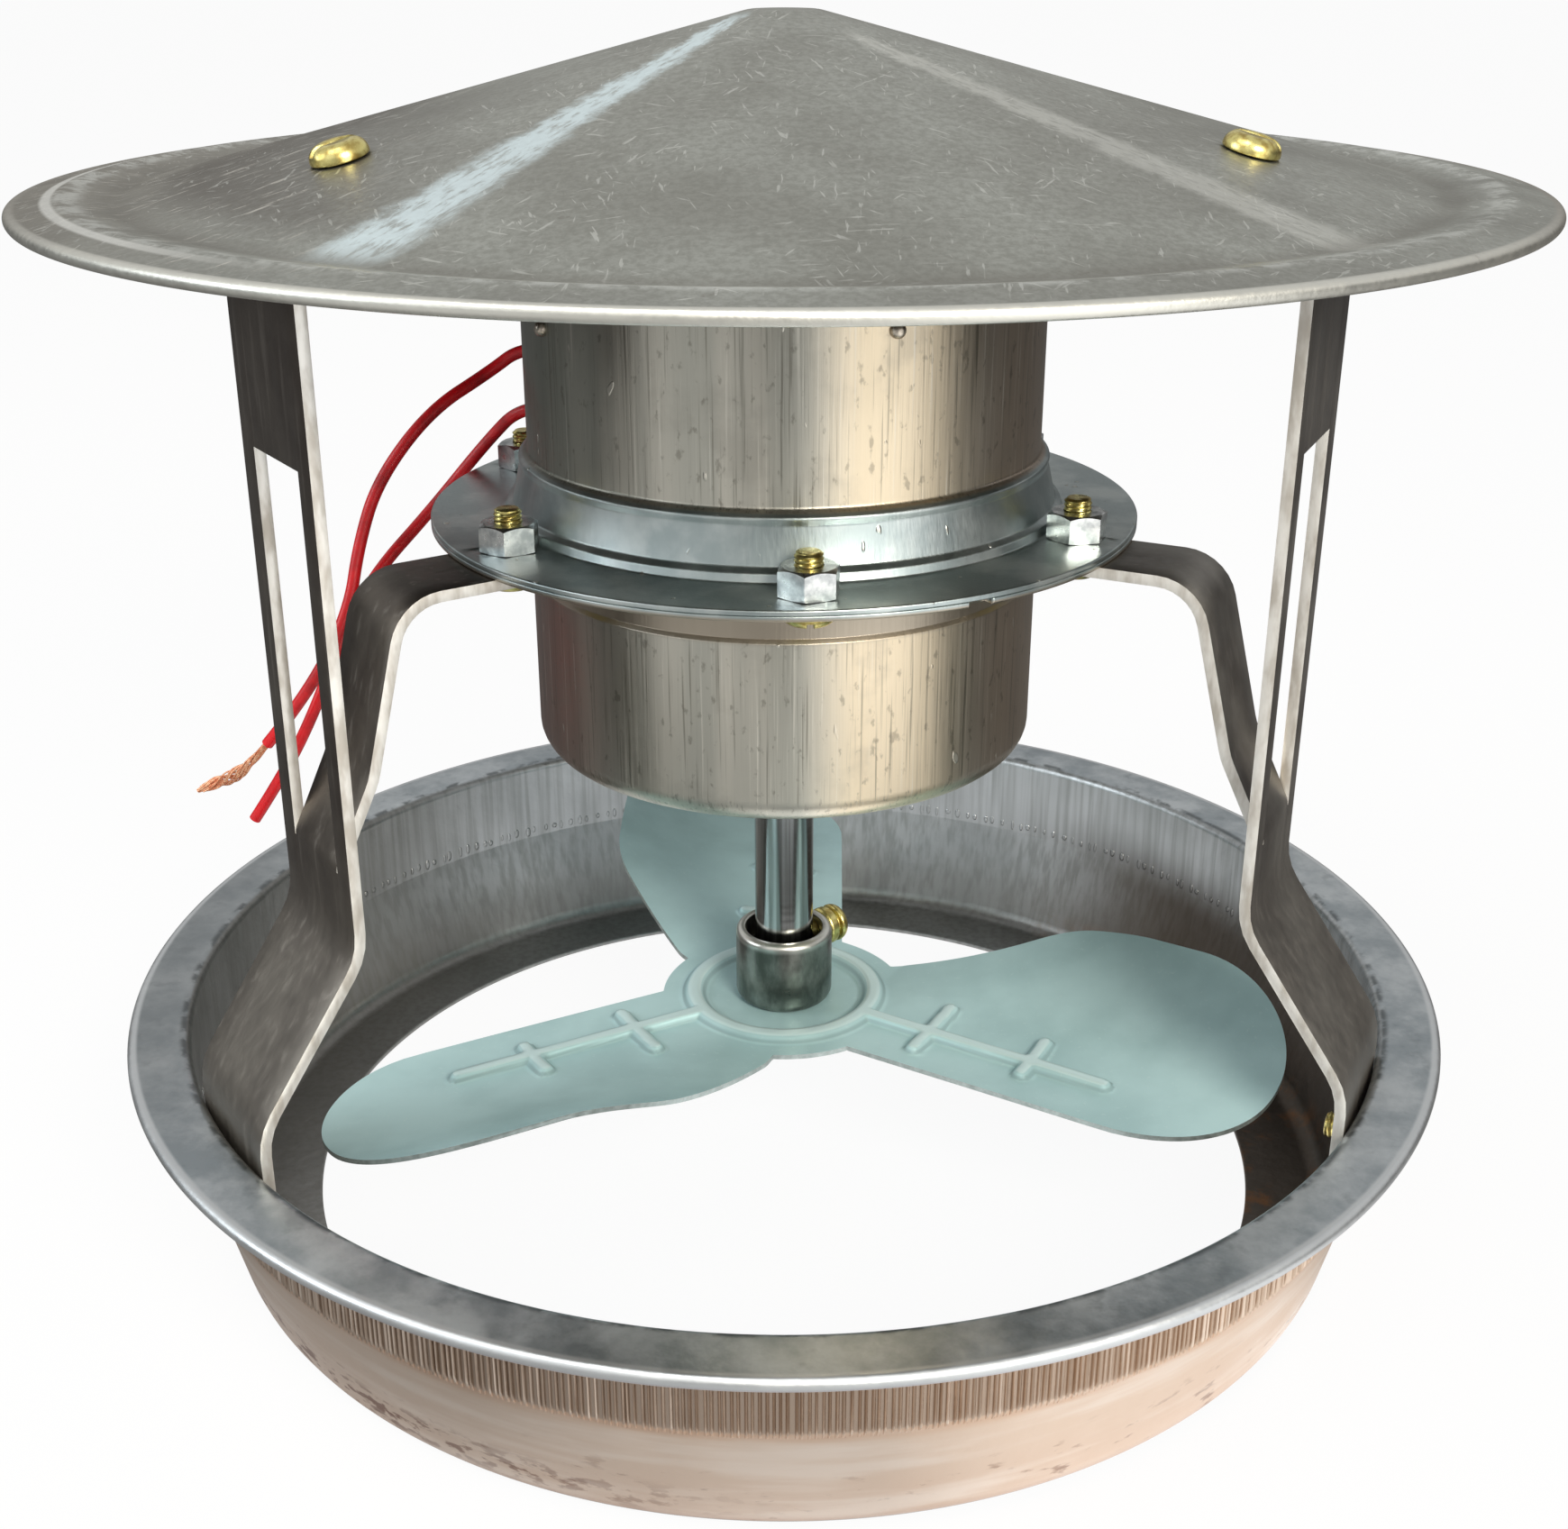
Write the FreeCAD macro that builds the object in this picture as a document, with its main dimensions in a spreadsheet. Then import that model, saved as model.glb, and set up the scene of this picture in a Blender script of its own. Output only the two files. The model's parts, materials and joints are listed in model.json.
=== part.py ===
import FreeCAD, Part
import math
import os
import re
import Sketcher

os.makedirs("parts", exist_ok=True)
doc = FreeCAD.newDocument("DraughtFan")

# Driving dimensions, in millimetres and degrees. Heights are above the surface the ring stands on.
DIMENSIONS = [
    # Base ring: one pressed sheet
    ("rim_radius", 132, "outer radius over the rolled edge of the rim"),
    ("ring_height", 45, "top of the rim above the lip"),
    ("ring_sheet", 1, "thickness of the ring's sheet"),
    ("hem_size", 2.6, "width and depth of the rolled edge"),
    ("wall_radius", 121, "outer radius of the upright wall"),
    ("flute_height", 0.6, "how far the fluted band stands out of the wall"),
    ("wall_depth", 20, "depth of the upright wall below the rim"),
    ("collar_foot_radius", 115.3, "outer radius of the collar at its foot"),
    ("foot_bend", 5, "outer bend radius between collar and lip"),
    ("opening_radius", 98.7, "radius of the flue opening"),
    ("base_screw_height", 36, "height of the screws through the wall"),
    # Rain cap: one spun sheet
    ("cap_radius", 131.4, "outer radius over the cap's edge"),
    ("cap_edge_height", 200, "underside of the cap's edge"),
    ("cap_sheet", 0.9, "thickness of the cap's sheet"),
    ("cap_edge_size", 2.2, "width and depth of the cap's rolled edge"),
    ("ridge_radius", 122.8, "radius of the ridge in the brim"),
    ("ridge_rise", 3.4, "height of the ridge above the underside of the edge"),
    ("valley_radius", 114, "radius where the cone meets the brim"),
    ("valley_rise", 2, "height of the valley above the underside of the edge"),
    ("apex_radius", 6, "radius of the flat at the top of the cone"),
    ("cone_rise", 28.5, "height of the flat above the valley"),
    ("cap_screw_radius", 83, "distance of the cap screws from the axis"),
    # Struts: three stamped straps, each with its tongue bent in as the motor's arm
    ("strut_azimuth", 94, "azimuth of the first strut, degrees"),
    ("strut_width", 30, "width of a strap"),
    ("strut_sheet", 2, "thickness of a strap"),
    ("strut_radius", 97.4, "distance of the upright part from the axis"),
    ("strut_foot", 29, "height of a strap's lower end"),
    ("strut_lower_bend", 52, "height of the bend above the wall"),
    ("strut_upper_bend", 81, "height where the strap turns upright again"),
    ("strut_bend_radius", 13, "bend radius of the strap's joggle"),
    ("strut_top_bend", 4, "bend radius under the cap"),
    ("strut_end_radius", 74, "distance of the strap's upper end from the axis"),
    ("slot_bottom", 95, "height of the slot's lower end"),
    ("slot_length", 70, "length of the slot"),
    ("slot_width", 19.5, "width of the slot"),
    ("tongue_width", 18.7, "width of the tongue"),
    ("tongue_knee_radius", 90.3, "distance of the tongue's slight bend from the axis"),
    ("tongue_knee_height", 110, "height of the tongue's slight bend"),
    ("tongue_corner_radius", 82.6, "distance from the axis of the bend below the flange"),
    ("tongue_bend", 9, "bend radius below the flange"),
    ("tongue_end_radius", 51.5, "distance of the tongue's end from the axis"),
    # Motor shells
    ("can_radius", 48, "outer radius of both cans"),
    ("can_sheet", 1, "thickness of the cans' sheet"),
    ("can_corner", 5, "outer corner radius of the cans"),
    ("can_bottom", 96.5, "outer face of the lower can's end"),
    ("can_top", 192, "outer face of the upper can's end"),
    ("flange_height", 142.2, "height of the joint between the two flanges"),
    ("flange_radius", 66.4, "outer radius of the flanges"),
    ("step_rise", 11.5, "height of the upper can's step above the joint"),
    ("step_radius", 49.5, "outer radius at the top of the step"),
    ("step_foot_radius", 51.4, "outer radius at the foot of the step"),
    ("neck_depth", 11, "depth of the lower can's neck below the joint"),
    ("neck_inset", 0.6, "how far the neck is set in from the can"),
    ("notch_width", 4.5, "width of the notch in the lower flange's edge"),
    ("notch_depth", 2, "depth of the notch"),
    ("notch_azimuth", 299, "azimuth of the notch, degrees"),
    ("bolt_circle_radius", 58, "radius of the flange's bolt circle"),
    ("bolt_count", 6, "bolts in the flange"),
    # Fasteners
    ("thread_diameter", 5, "thread of all the screws and bolts"),
    ("head_diameter", 9.6, "diameter of the pan heads"),
    ("head_height", 3, "height of the pan heads"),
    ("nut_across_flats", 9.6, "width of the flange nuts"),
    ("nut_height", 5, "height of the flange nuts"),
    ("thread_play", 0.05, "radial play of a thread in its hole"),
    ("thread_end", 2.4, "thread that stands out of a nut or a strap"),
    # Motor, inside
    ("shaft_radius", 6, "radius of the shaft"),
    ("shaft_play", 0.04, "radial running clearance of the shaft"),
    ("bearing_radius", 14, "outer radius of the bearings"),
    ("bearing_width", 8, "width of the bearings"),
    ("seat_play", 0.03, "radial clearance of pieces that are pressed in place"),
    ("shoulder_radius", 7.5, "radius of the shaft between its bearings"),
    ("end_play", 0.1, "axial play of the shaft at each bearing"),
    ("stack_height", 24, "height of the stator and rotor laminations"),
    ("bore_radius", 27.5, "bore of the stator"),
    ("air_gap", 0.5, "gap between rotor and stator"),
    ("slot_count", 12, "slots in the stator"),
    ("stator_slot_depth", 10, "depth of a stator slot"),
    ("stator_slot_width", 7, "width of a stator slot"),
    ("slot_mouth", 2.5, "width of a slot's mouth in the bore"),
    ("tooth_tip", 1.5, "depth of the teeth's tips at the bore"),
    ("winding_rise", 13, "height of the winding's end turns above the stack"),
    ("winding_gap", 0.15, "insulation between winding and laminations"),
    ("end_ring_width", 9, "width of the rotor's end rings"),
    ("end_ring_height", 3, "height of the rotor's end rings"),
    # Fan
    ("blade_count", 3, "blades of the fan"),
    ("blade_azimuth", 88.5, "azimuth of the first blade's rib, degrees"),
    ("fan_sheet", 1, "thickness of the fan plate"),
    ("fan_height", 35, "underside of the fan plate at the hub"),
    ("disc_radius", 25.5, "radius of the flat disc between the blades"),
    ("blade_reach", 102.5, "reach of a blade along its rib"),
    ("blade_lift", 0.15, "how far the blades' sheet stands above the disc's"),
    ("blade_root", 14, "distance from the axis where a blade grows out of the disc"),
    ("blade_leading", 12.3, "width of a blade on the flat side of its rib"),
    ("blade_trailing", 40, "width of a blade on the cambered side of its rib"),
    ("blade_shoulder", 47, "distance from the axis where a blade has its full width"),
    ("shoulder_bend", 25, "bend radius of the blade's outline at its shoulder"),
    ("root_width", 23.5, "width of a blade's root on the cambered side"),
    ("camber_radius", 89, "radius of the camber of a blade"),
    ("camber_offset", 6, "distance of the camber's lowest line from the rib"),
    ("cross_rib_1", 34.5, "distance of the inner cross rib from the axis"),
    ("cross_rib_2", 57, "distance of the outer cross rib from the axis"),
    ("rib_end", 72.5, "distance of a rib's end from the axis"),
    ("rib_width", 4.6, "width of a rib"),
    ("rib_rise", 1.2, "height of a rib above the plate"),
    ("emboss_radius", 19, "radius of the pressed ring round the hub"),
    ("emboss_width", 6, "width of the pressed ring at its foot"),
    # Hub
    ("hub_radius", 10, "outer radius of the hub"),
    ("hub_height", 16, "height of the hub above the fan plate"),
    ("hub_recess_radius", 8, "radius of the recess in the hub's top"),
    ("hub_recess_depth", 5, "depth of the recess"),
    ("spigot_radius", 7.2, "radius of the hub's spigot through the plate"),
    ("peen_radius", 9, "radius of the peened edge below the plate"),
    ("peen_height", 1, "height of the peened edge"),
    ("set_screw_azimuth", 40, "azimuth of the set screw, degrees"),
    ("set_screw_height", 12, "height of the set screw above the fan plate"),
    ("set_head_radius", 4, "radius of the set screw's head"),
    ("set_head_length", 5.4, "length of the set screw's head"),
    # Lead wires
    ("wire_radius", 1.2, "radius of a lead wire over its insulation"),
    ("grommet_azimuth", 160, "azimuth of the grommets, degrees"),
    ("grommet_radius", 2.4, "outer radius of a grommet"),
    ("grommet_lip", 0.5, "how far a grommet's lips reach over its hole's edge"),
    ("grommet_height_1", 168.7, "height of the upper grommet"),
    ("grommet_height_2", 157.3, "height of the lower grommet"),
    ("strand_radius", 0.8, "radius of the bare strands"),
    ("strand_length", 21, "length of the bare strands"),
]

dims = doc.addObject("Spreadsheet::Sheet", "Dims")
for row, (alias, size, meaning) in enumerate(DIMENSIONS, start=1):
    dims.set("A%d" % row, meaning)
    dims.set("B%d" % row, str(size))
    dims.setAlias("B%d" % row, alias)
doc.recompute()


ALIASES = {alias for alias, size, meaning in DIMENSIONS}


def formula(text):
    """The text with each dimension's name pointing to its cell."""
    return re.sub(r"[a-z][a-z_0-9]*", lambda word: "Dims." + word.group() if word.group() in ALIASES
                  else word.group(), text)


def value(text):
    """The present value of a formula in the dimensions."""
    result = dims.evalExpression(formula(text))
    return float(getattr(result, "Value", result))


def bind(thing, setting, text):
    """Tie one setting of a feature to a formula in the dimensions."""
    thing.setExpression(setting, formula(text))


def new_body(name):
    body = doc.addObject("PartDesign::Body", name)
    body.Label = name
    return body


def origin_part(body, role):
    """One of a body's own origin planes or axes."""
    return next(item for item in body.Origin.OriginFeatures if item.Role == role)


def new_sketch(body, name, role, lift="0"):
    """A sketch on one of the body's origin planes, or parallel to it at a distance."""
    sketch = body.newObject("Sketcher::SketchObject", name)
    sketch.AttachmentSupport = (origin_part(body, role), [""])
    sketch.MapMode = "FlatFace"
    if lift != "0":
        bind(sketch, "AttachmentOffset.Base.z", lift)
        doc.recompute()
    return sketch


def fix_point(sketch, geometry, point, across, up):
    """Hold a point of the sketch at two formulas."""
    for kind, text in (("DistanceX", across), ("DistanceY", up)):
        index = sketch.addConstraint(Sketcher.Constraint(kind, -1, 1, geometry, point, value(text)))
        bind(sketch, "Constraints[%d]" % index, text)


def fix_radius(sketch, geometry, text):
    index = sketch.addConstraint(Sketcher.Constraint("Radius", geometry, value(text)))
    bind(sketch, "Constraints[%d]" % index, text)


def add_circle(sketch, across, up, radius):
    centre = FreeCAD.Vector(value(across), value(up), 0)
    circle = sketch.addGeometry(Part.Circle(centre, FreeCAD.Vector(0, 0, 1), value(radius)))
    fix_point(sketch, circle, 3, across, up)
    fix_radius(sketch, circle, radius)


def add_outline(sketch, corners, closed=True):
    """Straight lines through the corners, each given as across, up and bend radius or None."""
    spots = [FreeCAD.Vector(value(across), value(up), 0) for across, up, bend in corners]
    count = len(corners)
    legs = count if closed else count - 1
    starts, ends, arcs = list(spots), list(spots), {}
    for i, (across, up, bend) in enumerate(corners):
        if bend is None:
            continue
        before = (spots[i] - spots[i - 1]).normalize()
        after = (spots[(i + 1) % count] - spots[i]).normalize()
        radius = value(bend)
        half_turn = math.acos(max(-1, min(1, before.dot(after)))) / 2
        ends[i] = spots[i] - before * radius * math.tan(half_turn)
        starts[i] = spots[i] + after * radius * math.tan(half_turn)
        left = before.cross(after).z > 0
        side = FreeCAD.Vector(-before.y, before.x, 0) * (1 if left else -1)
        centre = ends[i] + side * radius
        first, last = (ends[i], starts[i]) if left else (starts[i], ends[i])
        angles = [math.atan2(spot.y - centre.y, spot.x - centre.x) for spot in (first, last)]
        circle = Part.Circle(centre, FreeCAD.Vector(0, 0, 1), radius)
        arcs[i] = (Part.ArcOfCircle(circle, angles[0], angles[1]), left)
    lines = []
    for i in range(legs):
        after = (i + 1) % count
        lines.append(sketch.addGeometry(Part.LineSegment(starts[i], ends[after])))
    for i, (across, up, bend) in enumerate(corners):
        if i in arcs:
            shape, left = arcs[i]
            arc = sketch.addGeometry(shape)
            entry, leave = (1, 2) if left else (2, 1)
            sketch.addConstraint(Sketcher.Constraint("Tangent", lines[i - 1], 2, arc, entry))
            sketch.addConstraint(Sketcher.Constraint("Tangent", arc, leave, lines[i], 1))
            fix_radius(sketch, arc, bend)
            corner = sketch.addGeometry(Part.Point(spots[i]), True)
            sketch.addConstraint(Sketcher.Constraint("PointOnObject", corner, 1, lines[i - 1]))
            sketch.addConstraint(Sketcher.Constraint("PointOnObject", corner, 1, lines[i]))
            fix_point(sketch, corner, 1, across, up)
        elif not closed and i == count - 1:
            fix_point(sketch, lines[-1], 2, across, up)
        else:
            if closed or i > 0:
                sketch.addConstraint(Sketcher.Constraint("Coincident", lines[i - 1], 2, lines[i], 1))
            fix_point(sketch, lines[i], 1, across, up)


def add_rectangle(sketch, left, right, low, high):
    add_outline(sketch, [(left, low, None), (right, low, None), (right, high, None), (left, high, None)])


def with_flats(corners, flats):
    """The same corners, each bend drawn as a few flats from one end of its arc to the other."""
    spots = [FreeCAD.Vector(value(across), value(up), 0) for across, up, bend in corners]
    eased = []
    for i, (across, up, bend) in enumerate(corners):
        if bend is None:
            eased.append((across, up, None))
            continue
        before = (spots[i] - spots[i - 1]).normalize()
        after = (spots[(i + 1) % len(spots)] - spots[i]).normalize()
        half_turn = math.acos(max(-1, min(1, before.dot(after)))) / 2
        centre = (after - before).normalize() / math.cos(half_turn)
        start = centre * -1 - before * math.tan(half_turn)
        spin = math.copysign(2 * half_turn / flats, before.cross(after).z)
        for step in range(flats + 1):
            arm = FreeCAD.Rotation(FreeCAD.Vector(0, 0, 1), math.degrees(spin * step)).multVec(start)
            shift = centre + arm
            eased.append(("(%s) + (%s) * (%.5f)" % (across, bend, shift.x),
                          "(%s) + (%s) * (%.5f)" % (up, bend, shift.y), None))
    return eased


def revolve(body, name, corners, kind="Revolution", flats=1):
    """Turn an outline in the XZ plane round the body's Z axis."""
    sketch = new_sketch(body, name + "_profile", "XZ_Plane")
    add_outline(sketch, with_flats(corners, flats))
    feature = body.newObject("PartDesign::" + kind, name)
    feature.Profile = sketch
    feature.ReferenceAxis = (sketch, ["V_Axis"])
    feature.Angle = 360
    return feature


def cut_through(body, name, sketch):
    """Cut a sketch through the whole body, both ways."""
    pocket = body.newObject("PartDesign::Pocket", name)
    pocket.Profile = sketch
    pocket.SideType = "Symmetric"
    pocket.Type = "ThroughAll"
    return pocket


def repeat_round(body, name, features, count):
    """Repeat features evenly round the body's Z axis."""
    pattern = body.newObject("PartDesign::PolarPattern", name)
    pattern.Originals = features
    pattern.Axis = (origin_part(body, "Z_Axis"), [""])
    pattern.Angle = 360
    bind(pattern, "Occurrences", count)
    body.Tip = pattern
    return pattern


def round_edges(body, name, radius, wanted):
    """Round the edges whose middle lies where the test says."""
    doc.recompute()
    base = body.Tip
    names = []
    for number, edge in enumerate(base.Shape.Edges, start=1):
        if wanted(edge):
            names.append("Edge%d" % number)
    fillet = body.newObject("PartDesign::Fillet", name)
    fillet.Base = (base, names)
    bind(fillet, "Radius", radius)
    return fillet


def turn(azimuth):
    return FreeCAD.Rotation(FreeCAD.Vector(0, 0, 1), azimuth)


def tilt(angle):
    """A turn about Y that leans +Z towards +X."""
    return FreeCAD.Rotation(FreeCAD.Vector(0, 1, 0), angle)


def place(body, azimuth, radius, height, lean=0):
    """Stand a piece at an azimuth, radius and height, leaning outwards by an angle."""
    at = turn(azimuth).multVec(FreeCAD.Vector(radius, 0, height))
    body.Placement = FreeCAD.Placement(at, turn(azimuth) * tilt(lean))


# Azimuths that the three struts share with the screws and holes that hold them
STRUT_NAMES = ("back", "left", "right")
strut_azimuths = [value("strut_azimuth") + 120 * step for step in range(len(STRUT_NAMES))]
HOLE_RADIUS = "thread_diameter / 2 + thread_play"


# Base ring: rim, fluted wall, tapering collar and in-turned lip in one sheet

WALL_FOOT = "ring_height - wall_depth"
HEM_BEND = "0.45 * hem_size"
ring = new_body("base_ring")
revolve(ring, "ring_sheet_metal", [
    ("opening_radius", "0", None),
    ("collar_foot_radius", "0", "foot_bend"),
    ("wall_radius", WALL_FOOT, None),
    ("wall_radius + flute_height", WALL_FOOT, None),
    ("wall_radius + flute_height", "ring_height - ring_sheet", None),
    ("rim_radius - hem_size", "ring_height - ring_sheet", None),
    ("rim_radius - hem_size", "ring_height - hem_size", HEM_BEND),
    ("rim_radius", "ring_height - hem_size", HEM_BEND),
    ("rim_radius", "ring_height", HEM_BEND),
    ("wall_radius - ring_sheet", "ring_height", "2 * ring_sheet"),
    ("wall_radius - ring_sheet", WALL_FOOT, None),
    ("collar_foot_radius - ring_sheet", "ring_sheet", "foot_bend - ring_sheet"),
    ("opening_radius", "ring_sheet", None),
], flats=2)
hole_sketch = new_sketch(ring, "screw_hole_circle", "YZ_Plane")
add_circle(hole_sketch, "0", "base_screw_height", HOLE_RADIUS)
ring_hole = ring.newObject("PartDesign::Pocket", "screw_hole")
ring_hole.Profile = hole_sketch
ring_hole.Reversed = True
bind(ring_hole, "Length", "rim_radius")
repeat_round(ring, "screw_holes", [ring_hole], "3")
place(ring, value("strut_azimuth"), 0, 0)


# Rain cap: a spun sheet cone with a brim, a ridge and a rolled edge

CAP_BEND = "0.45 * cap_edge_size"
VALLEY = "cap_edge_height + valley_rise"
APEX = "cap_edge_height + valley_rise + cone_rise"
RIDGE = "cap_edge_height + ridge_rise"
CONE_SLOPE = "(cone_rise / (valley_radius - apex_radius))"
SCREW_SEAT = "(%s + (valley_radius - cap_screw_radius) * %s)" % (VALLEY, CONE_SLOPE)
cone_angle = math.degrees(math.atan(value(CONE_SLOPE)))


def cut_square_to_cone(body, name):
    """A hole for a cap screw, square to the cone at the screw's seat."""
    sketch = new_sketch(body, name + "_circle", "XY_Plane")
    add_circle(sketch, "0", "0", HOLE_RADIUS)
    sketch.AttachmentOffset = FreeCAD.Placement(FreeCAD.Vector(), tilt(cone_angle))
    bind(sketch, "AttachmentOffset.Base.x", "cap_screw_radius")
    bind(sketch, "AttachmentOffset.Base.z", SCREW_SEAT)
    doc.recompute()
    hole = body.newObject("PartDesign::Pocket", name)
    hole.Profile = sketch
    hole.SideType = "Symmetric"
    bind(hole, "Length", "4 * (cap_sheet + strut_sheet)")
    return hole


cap = new_body("rain_cap")
revolve(cap, "cap_sheet_metal", [
    ("0", APEX + " - cap_sheet", None),
    ("apex_radius", APEX + " - cap_sheet", None),
    ("valley_radius", VALLEY + " - cap_sheet", None),
    ("ridge_radius", RIDGE + " - cap_sheet", None),
    ("cap_radius - cap_edge_size", "cap_edge_height + cap_edge_size - cap_sheet", None),
    ("cap_radius - cap_edge_size", "cap_edge_height", CAP_BEND),
    ("cap_radius", "cap_edge_height", CAP_BEND),
    ("cap_radius", "cap_edge_height + cap_edge_size", CAP_BEND),
    ("ridge_radius", RIDGE, None),
    ("valley_radius", VALLEY, None),
    ("apex_radius", APEX, None),
    ("0", APEX, None),
])
cap_hole = cut_square_to_cone(cap, "cap_hole")
repeat_round(cap, "cap_holes", [cap_hole], "3")
place(cap, value("strut_azimuth"), 0, 0)


# Struts: the strap, its joggle to the ring's wall, the slot, and the tongue bent in as the arm

FACE_GAP = "thread_play"
FOOT_RADIUS = ("(sqrt((wall_radius - ring_sheet) ^ 2 - strut_width ^ 2 / 4) - strut_sheet / 2 - "
               + FACE_GAP + ")")
EDGE_DROP = CONE_SLOPE + " * (sqrt(strut_end_radius ^ 2 + strut_width ^ 2 / 4) - strut_end_radius)"
HALF_STRAP = "strut_sheet / 2 * sqrt(1 + " + CONE_SLOPE + " ^ 2)"
ARM_HEIGHT = "(flange_height - can_sheet - strut_sheet / 2)"


def strap_height(radius):
    """Middle of the strap where it lies under the cone, at a distance from the axis."""
    under_cone = "%s - cap_sheet + (valley_radius - %s) * %s" % (VALLEY, radius, CONE_SLOPE)
    return "%s - %s - %s - %s" % (under_cone, EDGE_DROP, HALF_STRAP, FACE_GAP)


def sweep_strip(body, name, path, start, width, lift):
    """A strip of the strap's sheet swept along a path in the XZ plane that starts upright."""
    spine = new_sketch(body, name + "_path", "XZ_Plane")
    add_outline(spine, path, closed=False)
    section = new_sketch(body, name + "_section", "XY_Plane", lift)
    add_rectangle(section, start + " - strut_sheet / 2", start + " + strut_sheet / 2",
                  "-%s / 2" % width, "%s / 2" % width)
    doc.recompute()
    strip = body.newObject("PartDesign::AdditivePipe", name)
    strip.Profile = section
    strip.Spine = spine
    return strip


def make_strut(label, azimuth):
    strut = new_body("strut_" + label)
    sweep_strip(strut, "strap_" + label, [
        (FOOT_RADIUS, "strut_foot", None),
        (FOOT_RADIUS, "strut_lower_bend", "strut_bend_radius"),
        ("strut_radius", "strut_upper_bend", "strut_bend_radius"),
        ("strut_radius", strap_height("strut_radius"), "strut_top_bend"),
        ("strut_end_radius", strap_height("strut_end_radius"), None),
    ], FOOT_RADIUS, "strut_width", "strut_foot")

    slot_sketch = new_sketch(strut, "slot_outline_" + label, "YZ_Plane")
    add_rectangle(slot_sketch, "-slot_width / 2", "slot_width / 2", "slot_bottom", "slot_bottom + slot_length")
    cut_through(strut, "slot_" + label, slot_sketch)

    root = "slot_bottom - 2 * strut_sheet"
    sweep_strip(strut, "tongue_" + label, [
        ("strut_radius", root, None),
        ("strut_radius", "slot_bottom", "1.5 * strut_sheet"),
        ("tongue_knee_radius", "tongue_knee_height", "strut_bend_radius"),
        ("tongue_corner_radius", ARM_HEIGHT, "tongue_bend"),
        ("tongue_end_radius", ARM_HEIGHT, None),
    ], "strut_radius", "tongue_width", root)

    end = value("tongue_end_radius")
    foot = value("strut_foot")

    def at_tongue_end(edge):
        return edge.BoundBox.XMax < end + 0.01 and edge.BoundBox.ZLength > 0.5

    def at_foot_corner(edge):
        return edge.BoundBox.ZMax < foot + 0.01 and edge.BoundBox.XLength > 0.5

    round_edges(strut, "tongue_end_" + label, "0.4 * tongue_width", at_tongue_end)
    round_edges(strut, "foot_corners_" + label, "2 * strut_sheet", at_foot_corner)

    bolt_sketch = new_sketch(strut, "bolt_circle_" + label, "XY_Plane")
    add_circle(bolt_sketch, "bolt_circle_radius", "0", HOLE_RADIUS)
    cut_through(strut, "bolt_hole_" + label, bolt_sketch)

    foot_sketch = new_sketch(strut, "foot_circle_" + label, "YZ_Plane")
    add_circle(foot_sketch, "0", "base_screw_height", HOLE_RADIUS)
    cut_through(strut, "foot_hole_" + label, foot_sketch)

    cut_square_to_cone(strut, "top_hole_" + label)
    place(strut, azimuth, 0, 0)
    return strut


struts = [make_strut(label, azimuth) for label, azimuth in zip(STRUT_NAMES, strut_azimuths)]


# Motor shells: two drawn cans whose flanges meet, each with a bearing cup in its end

FLANGE_TOP = "(flange_height + can_sheet)"
FLANGE_UNDER = "(flange_height - can_sheet)"
STEP_TOP = "(flange_height + step_rise)"
NECK_FOOT = "(flange_height - neck_depth)"
NECK_RADIUS = "(can_radius - neck_inset)"
CUP_BORE = "(bearing_radius + seat_play)"
CUP_RADIUS = "(bearing_radius + seat_play + can_sheet)"
CUP_RISE = "(bearing_width - can_sheet)"
CUP_BEND = "1.5 * can_sheet"
SHAFT_HOLE = "(shaft_radius + can_sheet)"
GROMMET_HOLE = "(grommet_radius - grommet_lip)"


def add_flange_holes(shell, name, own_azimuth):
    """The bolt holes, in a shell whose own X axis points to its own azimuth."""
    sketch = new_sketch(shell, name + "_circle", "XY_Plane")
    add_circle(sketch, "bolt_circle_radius * cos(strut_azimuth - %s)" % own_azimuth,
               "bolt_circle_radius * sin(strut_azimuth - %s)" % own_azimuth, HOLE_RADIUS)
    hole = cut_through(shell, name, sketch)
    repeat_round(shell, name + "s", [hole], "bolt_count")


upper_shell = new_body("motor_upper_shell")
revolve(upper_shell, "upper_can", [
    ("flange_radius", "flange_height", None),
    ("flange_radius", FLANGE_TOP, None),
    ("step_foot_radius", FLANGE_TOP, None),
    ("step_radius", STEP_TOP, None),
    ("can_radius", STEP_TOP + " + can_sheet", None),
    ("can_radius", "can_top", "can_corner"),
    (CUP_RADIUS, "can_top", None),
    (CUP_RADIUS, "can_top + " + CUP_RISE, CUP_BEND),
    ("0", "can_top + " + CUP_RISE, None),
    ("0", "can_top - can_sheet + " + CUP_RISE, None),
    (CUP_BORE, "can_top - can_sheet + " + CUP_RISE, None),
    (CUP_BORE, "can_top - can_sheet", None),
    ("can_radius - can_sheet", "can_top - can_sheet", "can_corner - can_sheet"),
    ("can_radius - can_sheet", STEP_TOP, None),
    ("step_radius - can_sheet", STEP_TOP + " - can_sheet", None),
    ("step_foot_radius - can_sheet", "flange_height", None),
], flats=2)
add_flange_holes(upper_shell, "upper_flange_hole", "grommet_azimuth")
for number in ("1", "2"):
    sketch = new_sketch(upper_shell, "wire_hole_circle_" + number, "YZ_Plane")
    add_circle(sketch, "0", "grommet_height_" + number, GROMMET_HOLE)
    wire_hole = upper_shell.newObject("PartDesign::Pocket", "wire_hole_" + number)
    wire_hole.Profile = sketch
    wire_hole.Reversed = True
    bind(wire_hole, "Length", "flange_radius")
place(upper_shell, value("grommet_azimuth"), 0, 0)

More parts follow.
